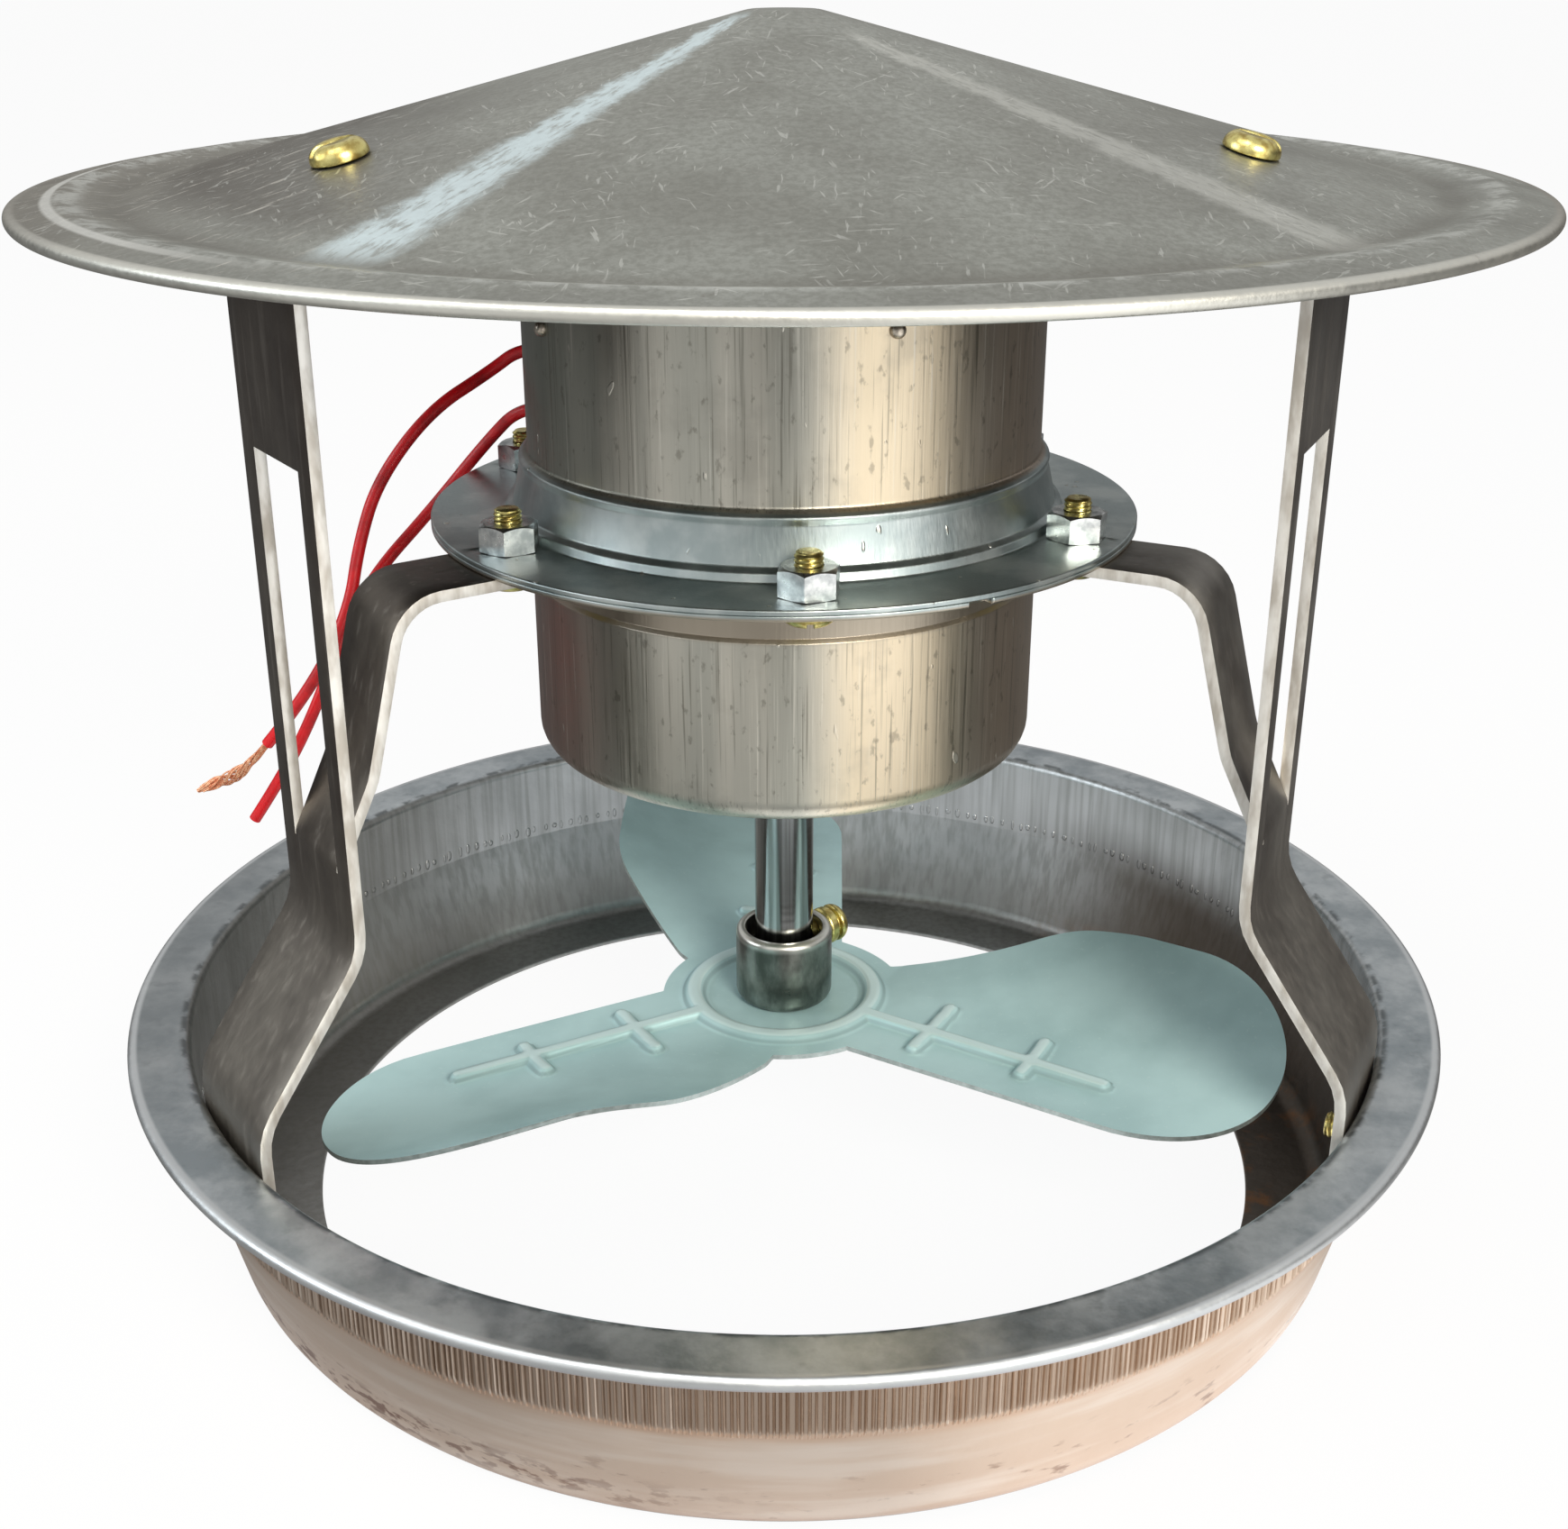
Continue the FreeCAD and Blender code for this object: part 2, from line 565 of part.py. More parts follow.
lower_shell = new_body("motor_lower_shell")
revolve(lower_shell, "lower_can", [
    ("flange_radius", "flange_height", None),
    (NECK_RADIUS + " - can_sheet", "flange_height", None),
    (NECK_RADIUS + " - can_sheet", NECK_FOOT, None),
    ("can_radius - can_sheet", NECK_FOOT + " - neck_inset", None),
    ("can_radius - can_sheet", "can_bottom + can_sheet", "can_corner - can_sheet"),
    (CUP_BORE, "can_bottom + can_sheet", None),
    (CUP_BORE, "can_bottom + can_sheet - " + CUP_RISE, None),
    (SHAFT_HOLE, "can_bottom + can_sheet - " + CUP_RISE, None),
    (SHAFT_HOLE, "can_bottom - " + CUP_RISE, None),
    (CUP_RADIUS, "can_bottom - " + CUP_RISE, CUP_BEND),
    (CUP_RADIUS, "can_bottom", None),
    ("can_radius", "can_bottom", "can_corner"),
    ("can_radius", NECK_FOOT + " - neck_inset", None),
    (NECK_RADIUS, NECK_FOOT, None),
    (NECK_RADIUS, FLANGE_UNDER, "can_sheet"),
    ("flange_radius", FLANGE_UNDER, None),
], flats=2)
add_flange_holes(lower_shell, "lower_flange_hole", "notch_azimuth")
sketch = new_sketch(lower_shell, "notch_outline", "XY_Plane")
add_rectangle(sketch, "flange_radius - notch_depth", "flange_radius + notch_depth",
              "-notch_width / 2", "notch_width / 2")
cut_through(lower_shell, "flange_notch", sketch)
place(lower_shell, value("notch_azimuth"), 0, 0)


# Bearings: sealed units, one in each shell's cup

LOWER_SEAT = "(can_bottom + can_sheet - " + CUP_RISE + ")"
UPPER_SEAT = "(can_top - can_sheet + " + CUP_RISE + " - bearing_width)"
SHIELD_INNER = "(shaft_radius + (bearing_radius - shaft_radius) / 4)"
SHIELD_OUTER = "(shaft_radius + (bearing_radius - shaft_radius) * 3 / 4)"
SHIELD_DEPTH = "bearing_width / 13"
BEARING_CORNER = "bearing_width / 10"


def make_bearing(name, seat):
    bearing = new_body(name)
    bore = "shaft_radius + shaft_play"
    revolve(bearing, name + "_ring", [
        (bore, seat, None),
        (SHIELD_INNER, seat, None),
        (SHIELD_INNER, "%s + %s" % (seat, SHIELD_DEPTH), None),
        (SHIELD_OUTER, "%s + %s" % (seat, SHIELD_DEPTH), None),
        (SHIELD_OUTER, seat, None),
        ("bearing_radius", seat, BEARING_CORNER),
        ("bearing_radius", seat + " + bearing_width", BEARING_CORNER),
        (SHIELD_OUTER, seat + " + bearing_width", None),
        (SHIELD_OUTER, "%s + bearing_width - %s" % (seat, SHIELD_DEPTH), None),
        (SHIELD_INNER, "%s + bearing_width - %s" % (seat, SHIELD_DEPTH), None),
        (SHIELD_INNER, seat + " + bearing_width", None),
        (bore, seat + " + bearing_width", None),
    ])
    return bearing


lower_bearing = make_bearing("lower_bearing", LOWER_SEAT)
upper_bearing = make_bearing("upper_bearing", UPPER_SEAT)


# Stator: laminated ring with slots open to the bore, and the winding that fills them

STACK_FOOT = "(flange_height - stack_height / 2)"
STACK_TOP = "(flange_height + stack_height / 2)"
STATOR_RADIUS = "can_radius - neck_inset - can_sheet - seat_play"
BORE_SIDE = "(bore_radius - tooth_tip)"
TIP_RADIUS = "(bore_radius + tooth_tip)"
SLOT_FLOOR = "(bore_radius + stator_slot_depth)"

stator = new_body("stator_core")
sketch = new_sketch(stator, "stator_rings", "XY_Plane", STACK_FOOT)
add_circle(sketch, "0", "0", STATOR_RADIUS)
add_circle(sketch, "0", "0", "bore_radius")
stack = stator.newObject("PartDesign::Pad", "stator_stack")
stack.Profile = sketch
bind(stack, "Length", "stack_height")
sketch = new_sketch(stator, "stator_slot_outline", "XY_Plane")
add_outline(sketch, [
    (BORE_SIDE, "-slot_mouth / 2", None),
    (TIP_RADIUS, "-slot_mouth / 2", None),
    (TIP_RADIUS, "-stator_slot_width / 2", None),
    (SLOT_FLOOR, "-stator_slot_width / 2", None),
    (SLOT_FLOOR, "stator_slot_width / 2", None),
    (TIP_RADIUS, "stator_slot_width / 2", None),
    (TIP_RADIUS, "slot_mouth / 2", None),
    (BORE_SIDE, "slot_mouth / 2", None),
])
stator_slot = cut_through(stator, "stator_slot", sketch)
repeat_round(stator, "stator_slots", [stator_slot], "slot_count")

COIL_INNER = "(%s + winding_gap)" % TIP_RADIUS
COIL_OUTER = "(%s - winding_gap)" % SLOT_FLOOR
COIL_CORNER = "stator_slot_depth / 5"
COIL_HALF_WIDTH = "(stator_slot_width / 2 - winding_gap)"
winding = new_body("stator_winding")
for name, low, high in (("lower", STACK_FOOT + " - winding_rise", STACK_FOOT + " - winding_gap"),
                        ("upper", STACK_TOP + " + winding_gap", STACK_TOP + " + winding_rise")):
    revolve(winding, name + "_end_turns", [
        (COIL_INNER, low, COIL_CORNER),
        (COIL_OUTER, low, COIL_CORNER),
        (COIL_OUTER, high, COIL_CORNER),
        (COIL_INNER, high, COIL_CORNER),
    ])
sketch = new_sketch(winding, "slot_coil_section", "XY_Plane", STACK_FOOT + " - winding_rise / 2")
add_rectangle(sketch, COIL_INNER, COIL_OUTER, "-" + COIL_HALF_WIDTH, COIL_HALF_WIDTH)
coil = winding.newObject("PartDesign::Pad", "slot_coil")
coil.Profile = sketch
bind(coil, "Length", "stack_height + winding_rise")
repeat_round(winding, "slot_coils", [coil], "slot_count")


# Shaft and rotor core: the shaft is thicker between the bearings, which hold it endways

SHAFT_FOOT = "(fan_height - peen_height)"
SHAFT_CHAMFER = "shaft_radius / 12"
SHAFT_TOP = "(%s + bearing_width - %s)" % (UPPER_SEAT, SHAFT_CHAMFER)
SHOULDER_FOOT = "(%s + bearing_width + end_play)" % LOWER_SEAT
SHOULDER_TOP = "(%s - end_play)" % UPPER_SEAT
shaft = new_body("shaft")
revolve(shaft, "shaft_bar", [
    ("0", SHAFT_FOOT, None),
    ("shaft_radius - " + SHAFT_CHAMFER, SHAFT_FOOT, None),
    ("shaft_radius", SHAFT_FOOT + " + " + SHAFT_CHAMFER, None),
    ("shaft_radius", SHOULDER_FOOT, None),
    ("shoulder_radius", SHOULDER_FOOT, None),
    ("shoulder_radius", SHOULDER_TOP, None),
    ("shaft_radius", SHOULDER_TOP, None),
    ("shaft_radius", SHAFT_TOP + " - " + SHAFT_CHAMFER, None),
    ("shaft_radius - " + SHAFT_CHAMFER, SHAFT_TOP, None),
    ("0", SHAFT_TOP, None),
])

ROTOR_RADIUS = "(bore_radius - air_gap)"
END_RING_RADIUS = "(bore_radius - air_gap - tooth_tip / 2)"
END_RING_CORNER = "end_ring_height / 3"
rotor = new_body("rotor_core")
revolve(rotor, "rotor_stack", [
    ("shoulder_radius + seat_play", STACK_FOOT, None),
    (END_RING_RADIUS + " - end_ring_width", STACK_FOOT, None),
    (END_RING_RADIUS + " - end_ring_width", STACK_FOOT + " - end_ring_height", END_RING_CORNER),
    (END_RING_RADIUS, STACK_FOOT + " - end_ring_height", END_RING_CORNER),
    (END_RING_RADIUS, STACK_FOOT, None),
    (ROTOR_RADIUS, STACK_FOOT, None),
    (ROTOR_RADIUS, STACK_TOP, None),
    (END_RING_RADIUS, STACK_TOP, None),
    (END_RING_RADIUS, STACK_TOP + " + end_ring_height", END_RING_CORNER),
    (END_RING_RADIUS + " - end_ring_width", STACK_TOP + " + end_ring_height", END_RING_CORNER),
    (END_RING_RADIUS + " - end_ring_width", STACK_TOP, None),
    ("shoulder_radius + seat_play", STACK_TOP, None),
])


# Screws, bolts and nuts

HEAD_CORNER = "0.6 * head_height"
THREAD_CHAMFER = "thread_diameter / 7"
SLOT_HALF_WIDTH = "thread_diameter / 8"


def make_screw(name, length):
    """A slotted pan head screw: the head below the origin, the thread up along Z."""
    screw = new_body(name)
    revolve(screw, name + "_turned", [
        ("0", "-head_height", None),
        ("head_diameter / 2", "-head_height", HEAD_CORNER),
        ("head_diameter / 2", "0", None),
        ("thread_diameter / 2", "0", None),
        ("thread_diameter / 2", "%s - %s" % (length, THREAD_CHAMFER), None),
        ("thread_diameter / 2 - " + THREAD_CHAMFER, length, None),
        ("0", length, None),
    ])
    slot = new_sketch(screw, name + "_slot_section", "YZ_Plane")
    add_rectangle(slot, "-" + SLOT_HALF_WIDTH, SLOT_HALF_WIDTH, "-2 * head_height", "-" + HEAD_CORNER)
    cut_through(screw, name + "_slot", slot)
    return screw


NUT_CORNER = "(nut_across_flats / sqrt(3))"


def make_nut(name):
    """A hexagon nut with its upper corners turned off, seated on its origin."""
    nut = new_body(name)
    sketch = new_sketch(nut, name + "_hexagon", "XY_Plane")
    add_outline(sketch, [("%s * cos(%d)" % (NUT_CORNER, angle), "%s * sin(%d)" % (NUT_CORNER, angle), None)
                         for angle in range(0, 360, 60)])
    add_circle(sketch, "0", "0", HOLE_RADIUS)
    block = nut.newObject("PartDesign::Pad", name + "_block")
    block.Profile = sketch
    bind(block, "Length", "nut_height")
    revolve(nut, name + "_chamfer", [
        ("nut_across_flats / 2", "nut_height", None),
        ("nut_across_flats", "nut_height", None),
        ("nut_across_flats", "nut_height - (nut_across_flats / 2) * tan(30)", None),
    ], kind="Groove")
    return nut


screws = []
for label, azimuth in zip(STRUT_NAMES, strut_azimuths):
    cap_screw = make_screw("cap_screw_" + label, "(cap_sheet + 1.25 * strut_sheet + thread_end)")
    place(cap_screw, azimuth, value("cap_screw_radius"), value(SCREW_SEAT), cone_angle + 180)
    base_screw = make_screw("base_screw_" + label, "(flute_height + ring_sheet + 2 * strut_sheet + thread_end)")
    place(base_screw, azimuth, value("wall_radius + flute_height"), value("base_screw_height"), -90)
    screws += [cap_screw, base_screw]

NUT_TURNS = (0, 10, 25, 18, 5, 14)
bolt_total = int(value("bolt_count"))
bolts = []
nuts = []
for number in range(bolt_total):
    azimuth = value("strut_azimuth") + 360 / bolt_total * number
    holds_arm = 3 * number % bolt_total == 0
    seat = FLANGE_UNDER + (" - strut_sheet" if holds_arm else "")
    bolt = make_screw("flange_bolt_%d" % (number + 1), "(%s + nut_height + thread_end - (%s))" % (FLANGE_TOP, seat))
    place(bolt, azimuth, value("bolt_circle_radius"), value(seat))
    nut = make_nut("flange_nut_%d" % (number + 1))
    place(nut, azimuth, value("bolt_circle_radius"), value(FLANGE_TOP))
    nut_turn = NUT_TURNS[number % len(NUT_TURNS)]
    nut.Placement = nut.Placement * FreeCAD.Placement(FreeCAD.Vector(), turn(nut_turn))
    bolts.append(bolt)
    nuts.append(nut)


# Fan plate: one pressed sheet, a flat disc from which three cambered blades with ribs grow

PLATE_TOP = "(fan_height + fan_sheet)"
PLATE_BORE = "(spigot_radius + seat_play)"
EMBOSS_HALF = "(emboss_width / 2)"
disc = new_body("fan_disc")
revolve(disc, "disc_sheet", [
    (PLATE_BORE, "fan_height", None),
    ("emboss_radius - %s + fan_sheet / 4" % EMBOSS_HALF, "fan_height", None),
    ("emboss_radius - %s + fan_sheet * 5 / 4" % EMBOSS_HALF, PLATE_TOP, None),
    ("emboss_radius + %s - fan_sheet * 5 / 4" % EMBOSS_HALF, PLATE_TOP, None),
    ("emboss_radius + %s - fan_sheet / 4" % EMBOSS_HALF, "fan_height", None),
    ("disc_radius", "fan_height", None),
    ("disc_radius", PLATE_TOP, None),
    ("emboss_radius + " + EMBOSS_HALF, PLATE_TOP, None),
    ("emboss_radius + %s - fan_sheet" % EMBOSS_HALF, PLATE_TOP + " + fan_sheet", None),
    ("emboss_radius - %s + fan_sheet" % EMBOSS_HALF, PLATE_TOP + " + fan_sheet", None),
    ("emboss_radius - " + EMBOSS_HALF, PLATE_TOP, None),
    (PLATE_BORE, PLATE_TOP, None),
])

# The camber opens from almost flat at the root to its full bend at half of the blade
CAMBER_STEPS = ((0, 20), (0.13, 12), (0.28, 3.3), (0.36, 1.85), (0.44, 1.25), (0.56, 1), (0.7, 1), (0.85, 1),
                (1, 1))
STRIP_LEFT = "-2 * blade_leading"
STRIP_RIGHT = "1.2 * blade_trailing"
STRIP_LENGTH = "(1.04 * blade_reach - blade_root)"
BLADE_CORNER = "0.49 * (blade_leading + blade_trailing)"
RIB_SAG = "camber_offset ^ 2 / (2 * camber_radius)"


def camber_section(body, name, lift, radius):
    """A slice across the blade: two arcs a sheet apart, square cut at both ends."""
    sketch = new_sketch(body, name, "YZ_Plane", lift)
    centre = ("-camber_offset", "fan_height + " + radius)
    arcs = []
    for bend in (radius, radius + " - fan_sheet"):
        middle = FreeCAD.Vector(value(centre[0]), value(centre[1]), 0)
        size = value(bend)
        ends = [-math.pi / 2 + math.asin((value(edge) - middle.x) / size) for edge in (STRIP_LEFT, STRIP_RIGHT)]
        circle = Part.Circle(middle, FreeCAD.Vector(0, 0, 1), size)
        arc = sketch.addGeometry(Part.ArcOfCircle(circle, ends[0], ends[1]))
        fix_point(sketch, arc, 3, centre[0], centre[1])
        fix_radius(sketch, arc, bend)
        for point, edge in ((1, STRIP_LEFT), (2, STRIP_RIGHT)):
            index = sketch.addConstraint(Sketcher.Constraint("DistanceX", -1, 1, arc, point, value(edge)))
            bind(sketch, "Constraints[%d]" % index, edge)
        arcs.append(arc)
    for point in (1, 2):
        spots = [sketch.getPoint(arc, point) for arc in arcs]
        line = sketch.addGeometry(Part.LineSegment(spots[0], spots[1]))
        sketch.addConstraint(Sketcher.Constraint("Coincident", line, 1, arcs[0], point))
        sketch.addConstraint(Sketcher.Constraint("Coincident", line, 2, arcs[1], point))
    return sketch


def add_slug(sketch, left, right, low, high):
    """A long outline with round ends."""
    bend = "0.48 * min(%s - (%s); %s - (%s))" % (right, left, high, low)
    add_outline(sketch, [(left, low, bend), (right, low, bend), (right, high, bend), (left, high, bend)])


def press_rib(body, name, left, right, low, high, rise, slope=0):
    """A flat rib standing out of the sheet."""
    sketch = new_sketch(body, name + "_outline", "XY_Plane", "fan_height + fan_sheet / 2 + " + rise)
    add_slug(sketch, left, right, low, high)
    if slope:
        sketch.AttachmentOffset = FreeCAD.Placement(sketch.AttachmentOffset.Base,
                                                    FreeCAD.Rotation(FreeCAD.Vector(1, 0, 0), slope))
        doc.recompute()
    rib = body.newObject("PartDesign::Pad", name)
    rib.Profile = sketch
    bind(rib, "Length", "rib_rise + fan_sheet / 2")


def make_blade(number):
    blade = new_body("blade_%d" % number)
    sections = []
    for step, (part, bend) in enumerate(CAMBER_STEPS):
        lift = "blade_root + %g * %s" % (part, STRIP_LENGTH)
        sections.append(camber_section(blade, "camber_%d_%d" % (number, step), lift, "%g * camber_radius" % bend))
    doc.recompute()
    strip = blade.newObject("PartDesign::AdditiveLoft", "blade_strip_%d" % number)
    strip.Profile = sections[0]
    strip.Sections = sections[1:]
    outline = new_sketch(blade, "blade_outline_%d" % number, "XY_Plane")
    add_rectangle(outline, "-blade_root", "1.2 * blade_reach", "-3 * blade_leading", "1.5 * blade_trailing")
    add_outline(outline, [
        ("blade_root - fan_sheet", "-blade_leading", None),
        ("blade_reach", "-blade_leading", BLADE_CORNER),
        ("blade_reach", "blade_trailing", BLADE_CORNER),
        ("blade_shoulder", "blade_trailing", "shoulder_bend"),
        ("blade_root + 3 * fan_sheet", "root_width", "3 * fan_sheet"),
        ("blade_root - fan_sheet", "root_width - 3 * fan_sheet", None),
    ])
    cut_through(blade, "blade_trim_%d" % number, outline)
    press_rib(blade, "rib_%d" % number, "emboss_radius", "rib_end", "-rib_width / 2", "rib_width / 2", RIB_SAG)
    press_rib(blade, "cross_rib_inner_%d" % number, "cross_rib_1 - rib_width / 2", "cross_rib_1 + rib_width / 2",
              "-1.75 * rib_width", "2.4 * rib_width", "0", 1.9)
    press_rib(blade, "cross_rib_outer_%d" % number, "cross_rib_2 - rib_width / 2", "cross_rib_2 + rib_width / 2",
              "-1.15 * rib_width", "1.8 * rib_width", RIB_SAG, 4.6)
    lift = FreeCAD.Vector(0, 0, value("blade_lift"))
    blade.Placement = FreeCAD.Placement(lift, turn(value("blade_azimuth") + 120 * (number - 1)))
    return blade


blades = [make_blade(number) for number in (1, 2, 3)]
fan = doc.addObject("Part::MultiFuse", "fan_plate")
fan.Label = "fan_plate"
fan.Shapes = [disc] + blades


# Hub: a turned steel collar, its spigot peened over below the plate, with a recess in its top

HUB_TOP = "(%s + hub_height)" % PLATE_TOP
HUB_CORNER = "0.2 * hub_radius"
SCREW_HEIGHT = "(%s + set_screw_height)" % PLATE_TOP
HUB_BORE = "(shaft_radius + seat_play)"
hub = new_body("fan_hub")
revolve(hub, "hub_turned", [
    (HUB_BORE, SHAFT_FOOT, None),
    ("peen_radius", SHAFT_FOOT, "peen_height / 2"),
    ("peen_radius", "fan_height", None),
    ("spigot_radius", "fan_height", None),
    ("spigot_radius", PLATE_TOP, None),
    ("hub_radius", PLATE_TOP, HUB_CORNER),
    ("hub_radius", HUB_TOP, HUB_CORNER + " - seat_play"),
    ("hub_recess_radius", HUB_TOP, None),
    ("hub_recess_radius", HUB_TOP + " - hub_recess_depth", None),
    (HUB_BORE, HUB_TOP + " - hub_recess_depth", None),
], flats=2)
sketch = new_sketch(hub, "set_screw_circle", "YZ_Plane")
add_circle(sketch, "0", SCREW_HEIGHT, HOLE_RADIUS)
hub_hole = hub.newObject("PartDesign::Pocket", "set_screw_hole")
hub_hole.Profile = sketch
hub_hole.Reversed = True
bind(hub_hole, "Length", "2 * hub_radius")
place(hub, value("set_screw_azimuth"), 0, 0)

# Set screw: brass, with a groove round its head and a domed end
SHANK_END = "(hub_radius - shaft_radius - seat_play)"
GROOVE_DEPTH = "set_head_radius / 4"
set_screw = new_body("set_screw")
revolve(set_screw, "set_screw_turned", [
    ("0", "-" + SHANK_END, None),
    ("thread_diameter / 2", "-" + SHANK_END, None),
    ("thread_diameter / 2", "seat_play", None),
    ("set_head_radius", "seat_play", "set_head_length / 8"),
    ("set_head_radius", "0.4 * set_head_length", None),
    ("set_head_radius - " + GROOVE_DEPTH, "0.45 * set_head_length", None),
    ("set_head_radius - " + GROOVE_DEPTH, "0.55 * set_head_length", None),
    ("set_head_radius", "0.6 * set_head_length", None),
    ("set_head_radius", "set_head_length", "0.35 * set_head_length"),
    ("0", "set_head_length", None),
])
place(set_screw, value("set_screw_azimuth"), value("hub_radius"), value(SCREW_HEIGHT), 90)


# Grommets: rubber bushes in the upper can's two wire holes

GROMMET_NECK = "(grommet_radius - grommet_lip - seat_play)"
GROMMET_BORE = "(wire_radius + thread_play)"
LIP_DEPTH = "2 * grommet_lip"
LIP_GAP = "2 * thread_play"


def make_grommet(number):
    grommet = new_body("wire_grommet_%d" % number)
    revolve(grommet, "grommet_turned_%d" % number, [
        (GROMMET_BORE, "-can_sheet - %s - %s" % (LIP_GAP, LIP_DEPTH), None),
        ("grommet_radius", "-can_sheet - %s - %s" % (LIP_GAP, LIP_DEPTH), "grommet_lip"),
        ("grommet_radius", "-can_sheet - " + LIP_GAP, None),
        (GROMMET_NECK, "-can_sheet - " + LIP_GAP, None),
        (GROMMET_NECK, "seat_play", None),
        ("grommet_radius", "seat_play", None),
        ("grommet_radius", LIP_DEPTH, "grommet_lip"),
        (GROMMET_BORE, LIP_DEPTH, None),
    ])
    height = value("grommet_height_%d" % number)
    place(grommet, value("grommet_azimuth"), value("can_radius"), height, 90)
    return grommet


grommets = [make_grommet(number) for number in (1, 2)]


# Lead wires: limp, hanging from their grommets, each point chosen along the wire

WIRE_ROUTES = {
    1: [(-43.2, 15.7, 168.7), (-50.6, 18.4, 168.7), (-57.5, 18.5, 163.6), (-68.3, 11, 157.7), (-78.5, 7, 145),
        (-82.6, 4, 133.2), (-84.8, 0, 120.5), (-93.2, -4, 105.2), (-103, -2, 93.6)],
    2: [(-43.2, 15.7, 157.3), (-51.2, 18.6, 157.3), (-59.6, 25, 148.5), (-71.7, 22.5, 134.5), (-82.2, 14.6, 124),
        (-87.8, 6, 113.9), (-94, 2, 98.9), (-101.1, 2, 85.9), (-108.4, 2, 75.3)],
}
ARC_SHARE = 0.45


def make_wire(number, route):
    """A tube of straight runs joined by tangent arcs, as large as the runs allow."""
    spots = [FreeCAD.Vector(*spot) for spot in route]
    edges = []
    start = spots[0]
    for before, corner, after in zip(spots, spots[1:], spots[2:]):
        run_in = (corner - before).normalize()
        run_out = (after - corner).normalize()
        half_turn = run_in.getAngle(run_out) / 2
        reach = ARC_SHARE * min((corner - before).Length, (after - corner).Length)
        radius = reach / math.tan(half_turn)
        inwards = (run_out - run_in).normalize()
        middle = corner + inwards * radius * (1 / math.cos(half_turn) - 1)
        first = corner - run_in * reach
        last = corner + run_out * reach
        edges.append(Part.LineSegment(start, first).toShape())
        edges.append(Part.Arc(first, middle, last).toShape())
        print("wire", number, "bend radius", round(radius, 1))
        start = last
    edges.append(Part.LineSegment(start, spots[-1]).toShape())
    path = Part.Wire(edges)
    section = Part.Wire(Part.makeCircle(value("wire_radius"), spots[0], spots[1] - spots[0]))
    tube = path.makePipeShell([section], True, False)
    share = tube.Volume / (math.pi * value("wire_radius") ** 2 * path.Length)
    print("wire", number, "length", round(path.Length, 1), "volume over section times length", round(share, 4))
    wire = doc.addObject("Part::Feature", "lead_wire_%d" % number)
    wire.Label = wire.Name
    wire.Shape = tube
    return wire


wires = [make_wire(number, route) for number, route in WIRE_ROUTES.items()]

# Bare copper strands, twisted to a point, at the end of the first wire
STRAND_GAP = "seat_play"
last_run = FreeCAD.Vector(*WIRE_ROUTES[1][-1]) - FreeCAD.Vector(*WIRE_ROUTES[1][-2])
strands = new_body("lead_strands")
revolve(strands, "strands_twisted", [
    ("0", STRAND_GAP, None),
    ("strand_radius", STRAND_GAP, None),
    ("strand_radius", "0.6 * strand_length", None),
    ("0.4 * strand_radius", "strand_length", None),
    ("0", "strand_length", None),
])
strands.Placement = FreeCAD.Placement(FreeCAD.Vector(*WIRE_ROUTES[1][-1]),
                                      FreeCAD.Rotation(FreeCAD.Vector(0, 0, 1), last_run))


# Every sub-part is checked and then written under its own name

sub_parts = [ring, cap] + struts + screws + [upper_shell, lower_shell] + bolts + nuts
sub_parts += [stator, winding, lower_bearing, upper_bearing] + grommets + wires + [strands]
sub_parts += [shaft, rotor, fan, hub, set_screw]
doc.recompute()
failed = [item.Name for item in doc.Objects if "Invalid" in item.State or "Error" in item.State]
if failed:
    raise RuntimeError("these objects did not build: " + ", ".join(failed))
for sub_part in sub_parts:
    if sub_part.Shape.isNull() or not sub_part.Shape.isValid():
        raise RuntimeError("this sub-part has no valid solid: " + sub_part.Label)
for sub_part in sub_parts:
    sub_part.Shape.exportStep("parts/%s.step" % sub_part.Label)
    print(sub_part.Label, len(sub_part.Shape.Solids), round(sub_part.Shape.Volume, 1))
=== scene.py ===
import json
import math
import random

import bmesh
import bpy
from mathutils import Matrix, Vector

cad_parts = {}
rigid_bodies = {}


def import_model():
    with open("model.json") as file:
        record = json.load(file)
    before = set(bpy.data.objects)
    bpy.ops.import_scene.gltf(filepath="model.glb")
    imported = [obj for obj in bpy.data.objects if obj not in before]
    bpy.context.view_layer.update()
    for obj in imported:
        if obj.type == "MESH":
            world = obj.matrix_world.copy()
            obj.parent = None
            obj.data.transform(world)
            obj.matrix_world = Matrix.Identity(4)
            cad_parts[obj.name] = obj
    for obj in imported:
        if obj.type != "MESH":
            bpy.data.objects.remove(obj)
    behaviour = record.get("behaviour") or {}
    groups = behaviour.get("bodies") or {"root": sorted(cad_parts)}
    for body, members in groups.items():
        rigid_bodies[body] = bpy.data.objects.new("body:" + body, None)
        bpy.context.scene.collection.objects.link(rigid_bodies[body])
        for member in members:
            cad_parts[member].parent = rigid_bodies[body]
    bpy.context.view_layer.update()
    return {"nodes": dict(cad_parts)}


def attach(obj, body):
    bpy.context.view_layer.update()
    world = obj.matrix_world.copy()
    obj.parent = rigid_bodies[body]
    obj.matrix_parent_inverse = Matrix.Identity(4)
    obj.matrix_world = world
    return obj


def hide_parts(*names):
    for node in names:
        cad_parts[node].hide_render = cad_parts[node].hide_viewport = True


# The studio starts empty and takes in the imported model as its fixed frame.
for leftover in list(bpy.data.objects):
    bpy.data.objects.remove(leftover)
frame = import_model()


